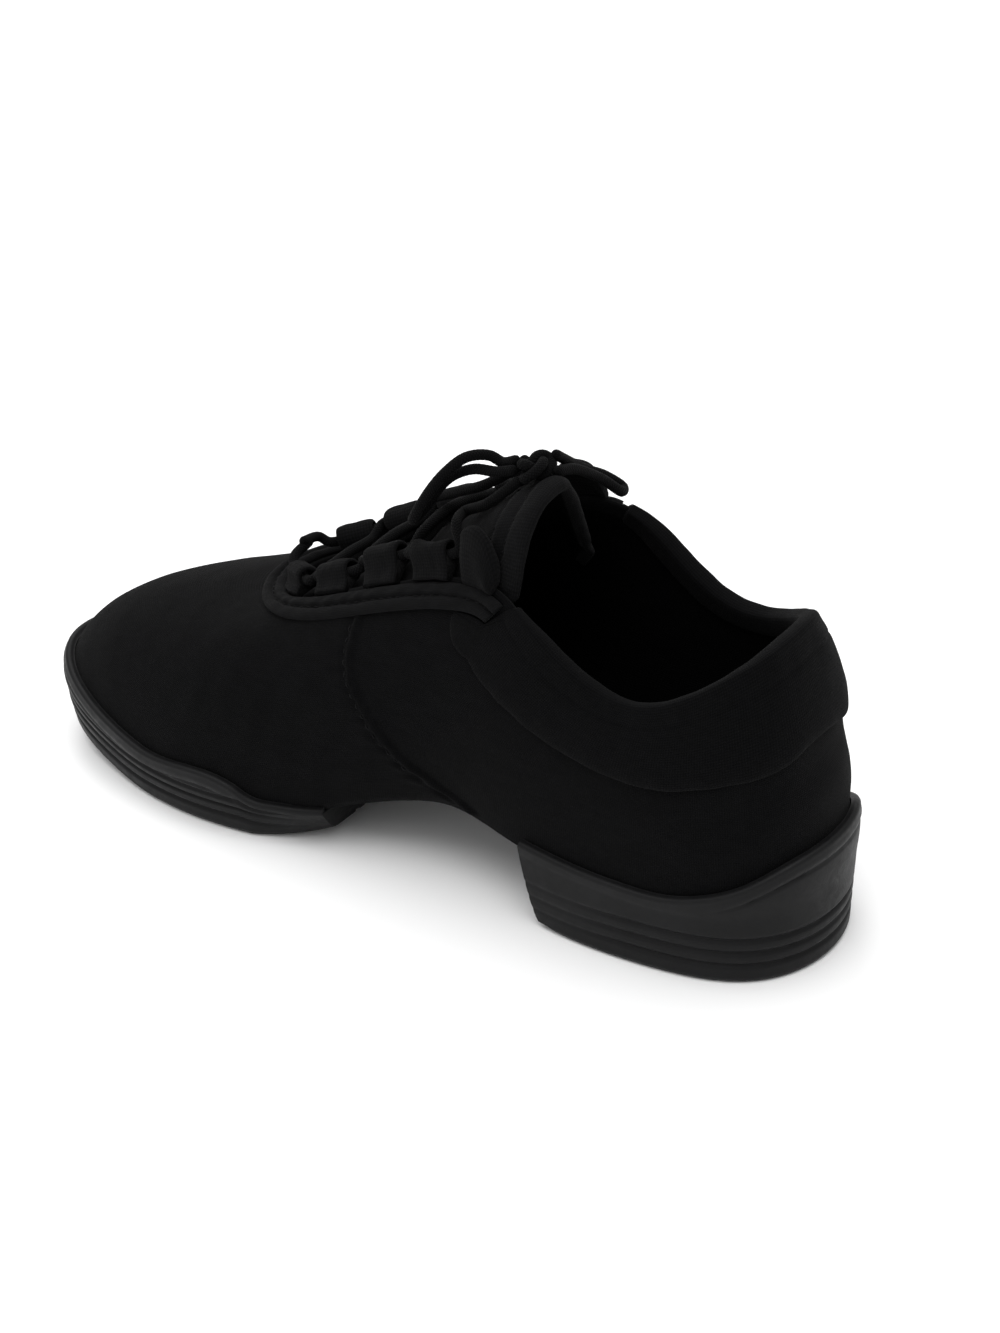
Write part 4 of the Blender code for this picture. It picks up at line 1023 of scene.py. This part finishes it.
def make_cuff():
    tip = np.arange(CUFF_END, CUFF_TIP + .001, CUFF_STEP / 2)
    u = np.concatenate([-tip[::-1], np.arange(-CUFF_END, CUFF_END, CUFF_STEP)[1:], tip])
    side = np.abs(u)
    taper = np.clip((side - CUFF_TAPER) / (CUFF_TIP - CUFF_TAPER), 0, 1) ** CUFF_CURVE
    depth = np.mean([np.interp(np.abs(u + step), CUFF_DEPTH[:, 0], CUFF_DEPTH[:, 1])
                     for step in (-.3, -.2, -.1, 0, .1, .2, .3)], axis=0) * CUFF_HEIGHT
    depth += (EYESTAY_DROP + CUFF_POINT - depth) * taper
    ended = smooth(CUFF_END - .12, CUFF_END + .02, side)
    start = ended * (EYESTAY_DROP + CLEARANCE)
    full = 1 - CUFF_SHRINK * smooth(CUFF_TAPER - .4, CUFF_END, side)
    swell = CUFF_SWELL * full * (1 - .35 * smooth(4.6, CUFF_TIP, side))
    seen = []
    for share, height in CUFF_SECTION:
        seen.append(skin(u, share_below_top(u, start + (depth - start) * share), CLEARANCE + swell * height))
    top_edge = seen[-1]
    edge, up, out = rim(u)

    def drawn_in(point):
        return point + (top_edge - point) * ended[:, None]
    for rise, reach, face in CUFF_OVER:
        stand = WALL_FACE[face] + face * reach * CUFF_ROLL * full
        if rise < 0:
            point = skin(u, share_below_top(u, -rise * CUFF_ROLL), stand)
        else:
            point = edge + up * (rise * CUFF_ROLL * full)[:, None] + out * stand[:, None]
        seen.append(drawn_in(point))
    close = [drawn_in(edge + up * CLEARANCE - out * (WALL + CLEARANCE)),
             drawn_in(edge + up * CLEARANCE + out * CLEARANCE),
             skin(u, share_below_top(u, start + (depth - start) * .5), CLEARANCE)]
    seen = np.array(seen)
    p = np.array([spline_through(seen[:, i], 3) for i in range(len(u))])
    section = np.concatenate([p, np.stack(close, 1)], 1)
    # Puckers and soft dents, only on the face that shows.
    t = np.linspace(0, 1, p.shape[1])
    show = window(0, .08, .86, 1, t)
    gathers = ripple(gone(edge)[:, None], CUFF_PUCKER_PITCH, 2.5 * waves(p, .05, 41, 2))
    relief = layers(p, (.00026, .030, 42, 3), (.00007, .008, 43, 2))
    relief = relief + .00010 * bell(t, .10, .10)[None] * gathers + .00008 * bell(t, .46, .10)[None] * gathers
    relief -= CUFF_DENT * bell(t, .415, .012)[None]
    n = outward(p, section.mean(1, keepdims=True))
    section[:, :len(t)] += n * (relief * show[None] * (1 - .6 * ended)[:, None])[..., None]
    piece = tube("collar_padding", section, CUFF_CLOTH, MERGE)
    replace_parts(piece, "collar_cuff")


# The eyestay's face: share of its width and of its swell, from its lower edge up.
EYESTAY_SECTION = [(0, 0), (-.02, .45), (.04, .85), (.14, 1.05), (.26, 1.08), (.37, .95), (.45, .55),
                   (.50, .36), (.55, .55), (.63, .92), (.74, 1.02), (.86, .95), (.96, .70), (1.02, .35),
                   (1, 0)]
BAND_FOLD = .00012
BAND_FOLD_PITCH = .0062
BAND_LOWER = .00008
BAND_LOWER_PITCH = .0090


def make_eyestay():
    end = CUFF_END + .02
    u = np.linspace(end, TURN - end, BAND_COLUMNS)
    seen = []
    for share, height in EYESTAY_SECTION:
        place = share_below_top(u, EYESTAY_DROP - share * EYESTAY_WIDTH)
        seen.append(skin(u, place, CLEARANCE + EYESTAY_SWELL * height))
    seen = np.array(seen)
    fine = np.array([spline_through(seen[:, i], 3) for i in range(len(u))])
    t = np.linspace(0, 1, fine.shape[1])
    run = gone(rim(u)[0])[:, None]
    folds = ripple(run, BAND_FOLD_PITCH, 2.4 * waves(fine, .03, 51, 2)) * bell(t, .72, .16)[None]
    lower = ripple(run, BAND_LOWER_PITCH, 3 * waves(fine, .04, 52, 2)) * bell(t, .25, .14)[None]
    relief = BAND_FOLD * folds + BAND_LOWER * lower + .00022 * waves(fine, .014, 53, 3)
    relief = relief * np.sin(np.pi * t)[None]
    middle = share_below_top(u, EYESTAY_DROP - EYESTAY_WIDTH / 2)
    n = unit(np.cross(np.gradient(fine, axis=1), np.gradient(fine, axis=0)))
    n *= np.sign((n[:, len(t) // 4] * normal(u, middle)).sum(1))[:, None, None]
    section = np.concatenate([fine + n * relief[..., None], skin(u, middle, .0001)[:, None]], 1)
    piece = tube("eyestay_band", section, PANEL_CLOTH, MERGE)
    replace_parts(piece, "eyestay")


def leaning(up, out, lean):
    """The way along a leaning tab, and the way out of its face."""
    angle = np.radians(TAB_LEAN * lean)
    return unit(up * np.cos(angle) + out * np.sin(angle)), unit(out * np.cos(angle) - up * np.sin(angle))


def tab_frame(tab, side):
    """Middle of a tab's tunnel, front to back, the rim's directions there and its places, as in the model."""
    place, rise_in, rise_out, width, lean = tab
    place = place if side > 0 else TURN - place
    cut = .25
    per_metre = 2 * cut / np.linalg.norm(np.diff(rim(np.array([place - cut, place + cut]))[0], axis=0))
    half = TAB_WIDTH * width / 2 * per_metre
    u = np.array([place + half, place, place - half])[::side]
    edge, up, out = rim(u)
    way, _ = leaning(up[1], out[1], lean)
    centre = edge[1] + way * (TAB_RISE * (rise_in if side > 0 else rise_out))
    run = unit(edge[2] - edge[0])
    middle = centre + ((edge - edge[1]) @ run)[:, None] * run
    return middle, edge, up, out, u


BARE_RIM = (EYESTAY_DROP - EYESTAY_WIDTH) / 2
TAB_ROWS = 31
TAB_FOLD = np.radians(np.linspace(-135, 96, 29))
TAB_INSIDE = np.pi * .86
TAB_BULGE = .0007
TAB_FACE = (.15, .3, .45, .6, .75, .9)
TAB_FOOT = 1.8


def make_tab(name, tab, side, seed, saddle):
    """A tab: a strip of webbing folded round the lace, puffed out, its top a little lower in the middle."""
    middle, _, up, out, places = tab_frame(tab, side)
    t = np.sin(np.linspace(-1, 1, TAB_ROWS) * np.pi / 2)
    edges, ups, outs = rim(np.interp(t, [-1, 0, 1], places))
    centres = middle[1] + (middle[2] - middle[0])[None] * (t[:, None] / 2)
    way, across = leaning(up[1], out[1], tab[4])
    tilt = np.random.default_rng(seed).uniform(-.08, .08)
    rounding = np.clip(1 - np.abs(t) ** 5, 0, 1) ** .5
    outer_rows, inner_rows = [], []
    for i in range(TAB_ROWS):
        wall = TAB_WALL * (.30 + .70 * rounding[i])
        dip = saddle * (1 - t[i] ** 2) + tilt * t[i]
        outer = []
        for a in TAB_FOLD:
            ray = way * np.cos(a) * (1 - dip * max(np.cos(a), 0)) + across * np.sin(a)
            outer.append(centres[i] + ray * (TAB_BORE + wall))
        foot_out = edges[i] - ups[i] * BARE_RIM * TAB_FOOT + outs[i] * (CLEARANCE + EYESTAY_SWELL * .5 + wall)
        foot_in = edges[i] - ups[i] * BARE_RIM + outs[i] * CLEARANCE
        face = [outer[-1] + (foot_out - outer[-1]) * share - across * (TAB_BULGE * np.sin(np.pi * share))
                for share in TAB_FACE]
        outer_rows.append(outer + face + [foot_out, foot_in, (outer[0] + foot_in) / 2])
        inner_rows.append([centres[i] + (way * np.cos(a) + across * np.sin(a)) * TAB_BORE
                           for a in np.linspace(-TAB_INSIDE, TAB_INSIDE, len(outer_rows[-1]))])
    p = np.array(outer_rows)
    relief = layers(p, (.00022, .0085, seed + 100, 3), (.00007, .003, seed + 200, 2))
    loop = np.concatenate([p + outward(p) * relief[..., None], np.array(inner_rows)[::-1]], 0)
    faces = grid_faces(*loop.shape[:2], wrap_rows=True, wrap_columns=True)
    piece = new_mesh(name, loop.reshape(-1, 3), faces, TAB_CLOTH, grid_uv(loop, TAB_ROWS).reshape(-1, 2))
    weld(piece, FINE_MERGE)
    return piece


# Top line of the ear, from its front back: place and share of its height.
EAR_PROFILE = np.array([(-1, .90), (-.8, 1.02), (-.5, 1.10), (-.15, 1.04), (.2, .88), (.5, .68), (.8, .42),
                        (1, .15)])
EAR_ROWS = 41
EAR_BACK = .62
EAR_FOOT = 1.5
EAR_STAND = .0002
EAR_HALF = .0015
EAR_EDGE = .0004


def make_ear(name, side, seed):
    """The webbing's end behind the last tab: a padded flap, rounded down towards the cuff."""
    middle, edge, _, _, (front, centre, back) = tab_frame(EAR, side)
    t = np.sin(np.linspace(-1, 1, EAR_ROWS) * np.pi / 2)
    edges, ups, outs = rim(np.interp(t, [-1, 0, 1], [front, centre, centre + (back - centre) * EAR_BACK]))
    ways, acrosses = leaning(ups, outs, EAR[4])
    full = np.linalg.norm(middle[1] - edge[1]) + EAR_ROUND
    tops = evened(np.interp(t, EAR_PROFILE[:, 0], EAR_PROFILE[:, 1]), 3)
    thick = EAR_HALF * np.clip(1 - np.abs(t) ** 6, 0, 1) ** .5 + EAR_EDGE
    sections = []
    for i in range(EAR_ROWS):
        foot = edges[i] - ups[i] * BARE_RIM * EAR_FOOT + outs[i] * (CLEARANCE + EAR_STAND)
        top = edges[i] + ways[i] * (full * tops[i] - thick[i])
        outside, inside = [], []
        for share in np.linspace(0, 1, 12):
            spot = foot + (top - foot) * share
            puff = thick[i] * (.45 + .55 * min(1, share * 3) + .35 * np.sin(np.pi * share))
            outside.append(spot + acrosses[i] * puff)
            inside.append(spot - acrosses[i] * thick[i] * min(1, .2 + share))
        crest = [top + (acrosses[i] * np.cos(a) + ways[i] * np.sin(a)) * thick[i]
                 for a in np.linspace(0, np.pi, 9)[1:-1]]
        sections.append(outside + crest + inside[::-1])
    s = np.array(sections)
    relief = layers(s, (.00022, .0100, seed, 3), (.00005, .003, seed + 50, 2))
    piece = closed_section(name, s + outward(s) * relief[..., None], TAB_CLOTH, FINE_MERGE)
    return piece


# The tongue: finely made from its toe end back, its outer flank narrowed towards the hood's edge.
MODEL_POINTS = 9
TONGUE_POINTS = 49
TONGUE_PLACES = stations((7.30, 5.6, 34), (5.6, 4.63, 50))
TONGUE_BLUR = .14
TONGUE_NARROW = .34
TONGUE_SAG = .012
TONGUE_RIM = .0022
RIM_TURNS = (20, 40, 58, 74, 86)
LINED_SHORT = 3
# Across the hood, from its edge: two rows of stitches with the depth of their dents, and the puffs between.
QUILT_ROWS = [(.0050, .00045), (.0125, .00040)]
QUILT_HALF = .0007
QUILT_PUFFS = [(.0020, .0022), (.0088, .0026)]
QUILT_PUFF = .00045


def tongue_values(place, blurred):
    """Crown, lean and the two fullnesses of the tongue's arch at a place, eased between the table's rows."""
    table = TONGUE_ROWS[::-1]
    reach = min(TONGUE_BLUR, place - table[0, 0], table[-1, 0] - place) if blurred else 0
    steps = place + np.array([-1, -.5, 0, .5, 1]) * reach
    return [np.dot(np.interp(steps, table[:, 0], table[:, column]), (.12, .24, .28, .24, .12))
            for column in (1, 2, 3, 4)]


def tongue_line(place, points=MODEL_POINTS):
    """Outer face of the tongue across the throat; with nine points as in the model."""
    finer = points > MODEL_POINTS
    crown, back, full, fall = tongue_values(place, finer)
    tucks = np.array([TONGUE_TUCK, TONGUE_TUCK / 2, 0])
    inner, outer = [skin(u, share_below_top(u, tucks), -(WALL + 2 * CLEARANCE))
                    for u in (np.full(3, place), TURN - np.full(3, place))]
    outer[:, 2] = np.minimum(outer[:, 2], inner[:, 2])
    side = np.sin(np.linspace(1, -1, points) * np.pi / 2)
    bow = np.where(side > 0, 1 - np.abs(side) ** full, np.maximum(1 - side ** 2, 0) ** fall)
    middle = inner[2] + (outer[2] - inner[2]) * (1 - side[:, None]) / 2
    lean = TONGUE_SHIFT * crown / TONGUE_ROWS[-1, 1]
    middle = middle + bow[:, None] * [-back * LENGTH, lean, crown * INSTEP_HEIGHT]
    line = np.concatenate([inner[:2], middle, outer[1::-1]])
    if finer:
        half = len(line) // 2
        narrow = TONGUE_NARROW * smooth(5.15, 4.63, place)
        outer_side = line[:, 1] < line[half, 1]
        line[outer_side, 1] += (line[half, 1] - line[outer_side, 1]) * narrow
        down = np.clip((half + np.arange(len(line)) - len(line)) / half, 0, 1) ** 2
        line[:, 2] -= TONGUE_SAG * narrow * down
    return line


def from_back(face):
    """Distance of a grid's points from its last row."""
    steps = np.linalg.norm(np.diff(face, axis=0), axis=2)[::-1].cumsum(0)[::-1]
    return np.concatenate([steps, 0 * steps[:1]])


def make_tongue():
    """The padded tongue; returns its outer face and the ways down from it."""
    face = evened(np.array([tongue_line(place, TONGUE_POINTS) for place in TONGUE_PLACES]), 3)
    rows, columns = face.shape[:2]
    under = unit(np.cross(np.gradient(face, axis=0), np.gradient(face, axis=1)))
    under *= -np.sign(under[:, columns // 2:columns // 2 + 1, 2:])
    way, side = np.linspace(0, 1, rows), np.linspace(0, 1, columns)
    across = 1 - np.abs(np.linspace(-1, 1, columns)) ** 3 * .5
    thick = TONGUE * np.clip(np.linspace(.4, 3.5, rows), 0, 1) * (1 - .25 * smooth(.6, 1, way))
    back = from_back(face)
    relief = layers(face, (.00040, .018, 61, 3), (.00014, .006, 62, 2))
    relief = relief - sum(deep * bell(back, place, QUILT_HALF) for place, deep in QUILT_ROWS)
    relief = relief + sum(QUILT_PUFF * bell(back, place, wide) for place, wide in QUILT_PUFFS)
    outer = face - under * (relief * window(0, .12, .88, 1, side)[None])[..., None]
    inner = face + under * (thick[:, None] * across[None])[..., None]
    sections = [np.concatenate([a, b[::-1]]) for a, b in zip(outer, inner)]
    a, b = outer[-1], inner[-1]
    centre = (a + b) / 2
    rear = unit(outer[-1] - outer[-3])
    for angle in np.radians(RIM_TURNS):
        reach = rear * TONGUE_RIM * np.sin(angle)
        sections.append(np.concatenate([centre + (a - centre) * np.cos(angle) + reach,
                                        (centre + (b - centre) * np.cos(angle) + reach)[::-1]]))
    s = np.array(sections)
    count, whole = s.shape[:2]
    faces = [tuple(f) for f in grid_faces(count, whole, wrap_columns=True)]
    for first in (0, (count - 1) * whole):
        for j in range(whole // 2 - 1):
            faces.append((first + j, first + j + 1, first + whole - 2 - j, first + whole - 1 - j))
    piece = new_mesh("tongue_padding", s.reshape(-1, 3), faces, TONGUE_CLOTH, grid_uv(s).reshape(-1, 2))
    piece.data.materials.append(LINING)
    # The hidden side of the tongue is lined, up to the rolled edge; the lining, darker than the tongue's
    # face, is painted shade there.
    for polygon in piece.data.polygons:
        row, column = divmod(polygon.index, whole)
        polygon.material_index = int(row < rows - LINED_SHORT and column >= columns)
    weld(piece, FINE_MERGE)
    sub = piece.modifiers.new("smoother", "SUBSURF")
    sub.levels = 1
    sub.render_levels = sub.levels
    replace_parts(piece, "tongue")
    return outer, under


def knot_middle():
    return tongue_line(EAR[0])[6] + [0, 0, KNOT_TALL / 2 + KNOT_RISE]


def beside_knot(step, ease):
    """The point where a cord with this way from the knot's middle meets the knot."""
    ray = unit(np.array(step, float))
    reach = 1 / np.linalg.norm(ray / (np.array([KNOT_WIDE, KNOT_LONG, KNOT_TALL]) / 2))
    return knot_middle() + ray * (reach + CLEARANCE + LACE * ease)


def tongue_over(x):
    """The tongue's outer face across the shoe at x."""
    lines = np.array([tongue_line(row[0]) for row in TONGUE_ROWS[::-1]])
    return np.array([[x, np.interp(x, line[:, 0], line[:, 1]), np.interp(x, line[:, 0], line[:, 2])]
                     for line in np.swapaxes(lines, 0, 1)])


def crossing(start, end, side, over):
    """Points of the lace from one tab over the tongue to the tab across."""
    stand = 4 * CLEARANCE + LACE / 2 + (LACE_OVER * LACE if over else 0)
    points = []
    midway = (start + end) / 2
    for pick, lean, spot in ((5, 1, midway), (6, 0, midway), (7, -1, end)):
        pick = pick if side > 0 else 12 - pick
        points.append(tongue_over(spot[0])[pick] + [0, side * lean * LACE_LEAN * stand, stand])
    for mouth, at, near in ((start, 0, points[0]), (end, len(points) + 1, points[-1])):
        points.insert(at, mouth + unit(near - mouth) * LACE)
    return points


def lace_half(side):
    """Points of one half of the lace, from the toe's middle through the tabs to the knot."""
    mouths = []
    for number, tab in enumerate(TABS):
        front, _, back = tab_frame(tab, side if number % 2 == 0 else -side)[0]
        way = unit(back - front)
        mouths.append((front - way * LACE_LEAD, back + way * LACE_LEAD))
    ahead = mouths[0][0]
    line = [[ahead[0] + LACE_LEAD, -side * LACE / 4, ahead[2] + LACE_LEAD],
            [ahead[0] + LACE_LEAD, side * LACE * 2, ahead[2] + LACE_LEAD / 2]]
    for number in range(len(TABS)):
        across = side if number % 2 == 0 else -side
        line += mouths[number]
        if number + 1 < len(TABS):
            over = (number % 2 == 0) == (side > 0)
            line += crossing(mouths[number][1], mouths[number + 1][0], across, over)
    last = mouths[-1][1]
    line.append(last + [LACE, -across * LACE, LACE_LIFT * LACE])
    pick = 5 if across > 0 else 7
    for ahead_of_last, rise in LACE_LAST:
        line.append(tongue_over(last[0] + ahead_of_last * LACE)[pick] + [0, 0, rise * LACE])
    line.append(beside_knot(np.multiply(KNOT_UNDER, (1, across, 1)), LOOP_EASE))
    return line


SPLINE_STEPS = 8
CORD_MERGE = 1e-6
KNOT_WAYS = (.0022, .0036, .0017)
KNOT_WAVE = .42
KNOT_CORD = .98
KNOT_POINTS = 220


def make_cord(name, points):
    line = even(spline_through(points, SPLINE_STEPS), CORD_STEP)
    piece = closed_section(name, round_ends(cord_sections(line, LACE), LACE), LACE_BRAID, CORD_MERGE)
    return piece, line


def make_knot():
    """The bow's knot: the cord wound over itself."""
    turns = np.linspace(0, 2 * np.pi, KNOT_POINTS)
    wide = 1 + KNOT_WAVE * np.cos(3 * turns)
    wound = np.stack([wide * np.cos(2 * turns), wide * np.sin(2 * turns), np.sin(3 * turns)], 1) * KNOT_WAYS
    s = cord_sections(knot_middle() + wound[:-1], LACE * KNOT_CORD)
    faces = grid_faces(*s.shape[:2], wrap_rows=True, wrap_columns=True)
    knot = new_mesh("bow_knot", s.reshape(-1, 3), faces, LACE_BRAID, grid_uv(s).reshape(-1, 2))
    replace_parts(knot, "lace_knot")
    return knot


def make_lace():
    knot = make_knot()
    for name, side in (("lace_over_inner", 1), ("lace_over_outer", -1)):
        piece, _ = make_cord(name, lace_half(side))
        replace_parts(piece, "lace_crossings")
    for name, steps, closed, node in (("bow_loop_near", LOOP_NEAR, True, "lace_loop_near"),
                                      ("bow_loop_far", LOOP_FAR, True, "lace_loop_far"),
                                      ("lace_tail_near", END_NEAR, False, "lace_end_near"),
                                      ("lace_tail_far", END_FAR, False, "lace_end_far")):
        ease = LOOP_EASE if closed else END_EASE
        points = [beside_knot(steps[0], ease)]
        points += [knot_middle() + np.array(step) * LENGTH for step in (steps[1:-1] if closed else steps[1:])]
        if closed:
            points.append(beside_knot(steps[-1], ease))
        piece, line = make_cord(name, points)
        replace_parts(piece, node)


STITCH_LENGTH = .0021
STITCH_GAP = .0009
STITCH_THICK = .00046
STITCH_LIFT = .15
STITCH_AROUND = 6
# Along a stitch: its lift and its thickness, as shares of the thread's.
STITCH_SHAPE = np.array([(-.55, .45), (.25, .95), (.5, 1), (.25, .95), (-.55, .45)])
QUILT_STITCH = (.0016, .0014)


def add_stitches(name, lines, length=STITCH_LENGTH, gap=STITCH_GAP):
    """Rows of raised stitches. Each line is (points, normals), dense enough to follow."""
    verts, faces = [], []
    rings = len(STITCH_SHAPE)
    turn = (np.arange(STITCH_AROUND) / STITCH_AROUND * 2 * np.pi)[None, :, None]
    lift = (STITCH_SHAPE[:, :1] + STITCH_LIFT) * STITCH_THICK
    radius = (STITCH_SHAPE[:, 1] * STITCH_THICK / 2)[:, None, None]
    for points, normals in lines:
        passed = gone(points)
        count = int(passed[-1] / (length + gap))
        for k in range(count):
            spots = (k + .5) * (passed[-1] / count) + np.linspace(-.5, .5, rings) * length
            p, n = [np.stack([np.interp(spots, passed, table[:, c]) for c in range(3)], 1)
                    for table in (points, normals)]
            n = unit(n)
            side = np.cross(unit(np.gradient(p, axis=0)), n)
            around = side[:, None] * np.cos(turn) + n[:, None] * np.sin(turn)
            base = len(verts)
            verts += list(((p + n * lift)[:, None] + around * radius).reshape(-1, 3))
            faces += [tuple(f) for f in grid_faces(rings, STITCH_AROUND, wrap_columns=True) + base]
            faces += [tuple(range(first, first + STITCH_AROUND))
                      for first in (base, base + (rings - 1) * STITCH_AROUND)]
    piece = new_mesh(name, verts, faces, THREAD)
    weld(piece, 1e-8)


def seam_stitches():
    """Lines along both quarter seams, on the lapped panel."""
    lines = []
    for side in (1, -1):
        spots = []
        for z in np.linspace(.034, .0735, 60):
            seam, stretch = seam_at(z)
            x = seam + STITCH_BACK * stretch
            u = np.linspace(3.0, 6.2, 120)
            u = u if side > 0 else TURN - u
            v = share_at_height(u, z)
            reached = canvas(u, v)[:, 0]
            k = np.argmin(np.abs(reached - x))
            near = slice(max(k - 1, 0), min(k + 1, len(u) - 1) + 1)
            order = np.argsort(reached[near])
            spots.append([np.interp(x, reached[near][order], values[near][order]) for values in (u, v)])
        u, v = np.array(spots).T
        base, n = canvas(u, v), normal(u, v)
        lines.append((base + n * canvas_relief(base)[..., None], n))
    return lines


def band_stitches():
    """A line along the groove between the eyestay's ridges."""
    end = CUFF_END + .08
    u = np.linspace(end, TURN - end, 900)
    v = share_below_top(u, EYESTAY_DROP - .50 * EYESTAY_WIDTH)
    return [(skin(u, v, CLEARANCE + EYESTAY_SWELL * .36), normal(u, v))]


def quilt_stitches(face, under):
    """Lines across the tongue's hood, in its quilted dents."""
    away = from_back(face)
    columns = np.arange(6, face.shape[1] - 6)
    lines = []
    for back, _ in QUILT_ROWS:
        rows = np.abs(away[:, columns] - back).argmin(0)
        lines.append((evened(face[rows, columns], 4), -under[rows, columns]))
    return lines


make_canvas()
make_soles()
make_footbed()
make_cuff()
make_eyestay()
# Dip of the inner tabs' tops, from the toe back; the last one is a saddle. The outer tabs dip alike.
for number, (tab, saddle) in enumerate(zip(TABS, (.10, .08, .10, .30)), 1):
    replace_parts(make_tab(f"tab_inner_{number}", tab, 1, number, saddle), f"lace_tab_in_{number}")
    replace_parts(make_tab(f"tab_outer_{number}", tab, -1, number + 20, .10), f"lace_tab_out_{number}")
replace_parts(make_ear("ear_inner", 1, 71), "collar_ear_in")
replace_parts(make_ear("ear_outer", -1, 72), "collar_ear_out")
tongue_face, tongue_under = make_tongue()
make_lace()
add_stitches("quarter_stitches", seam_stitches())
add_stitches("eyestay_stitches", band_stitches())
add_stitches("tongue_stitches", quilt_stitches(tongue_face, tongue_under), *QUILT_STITCH)
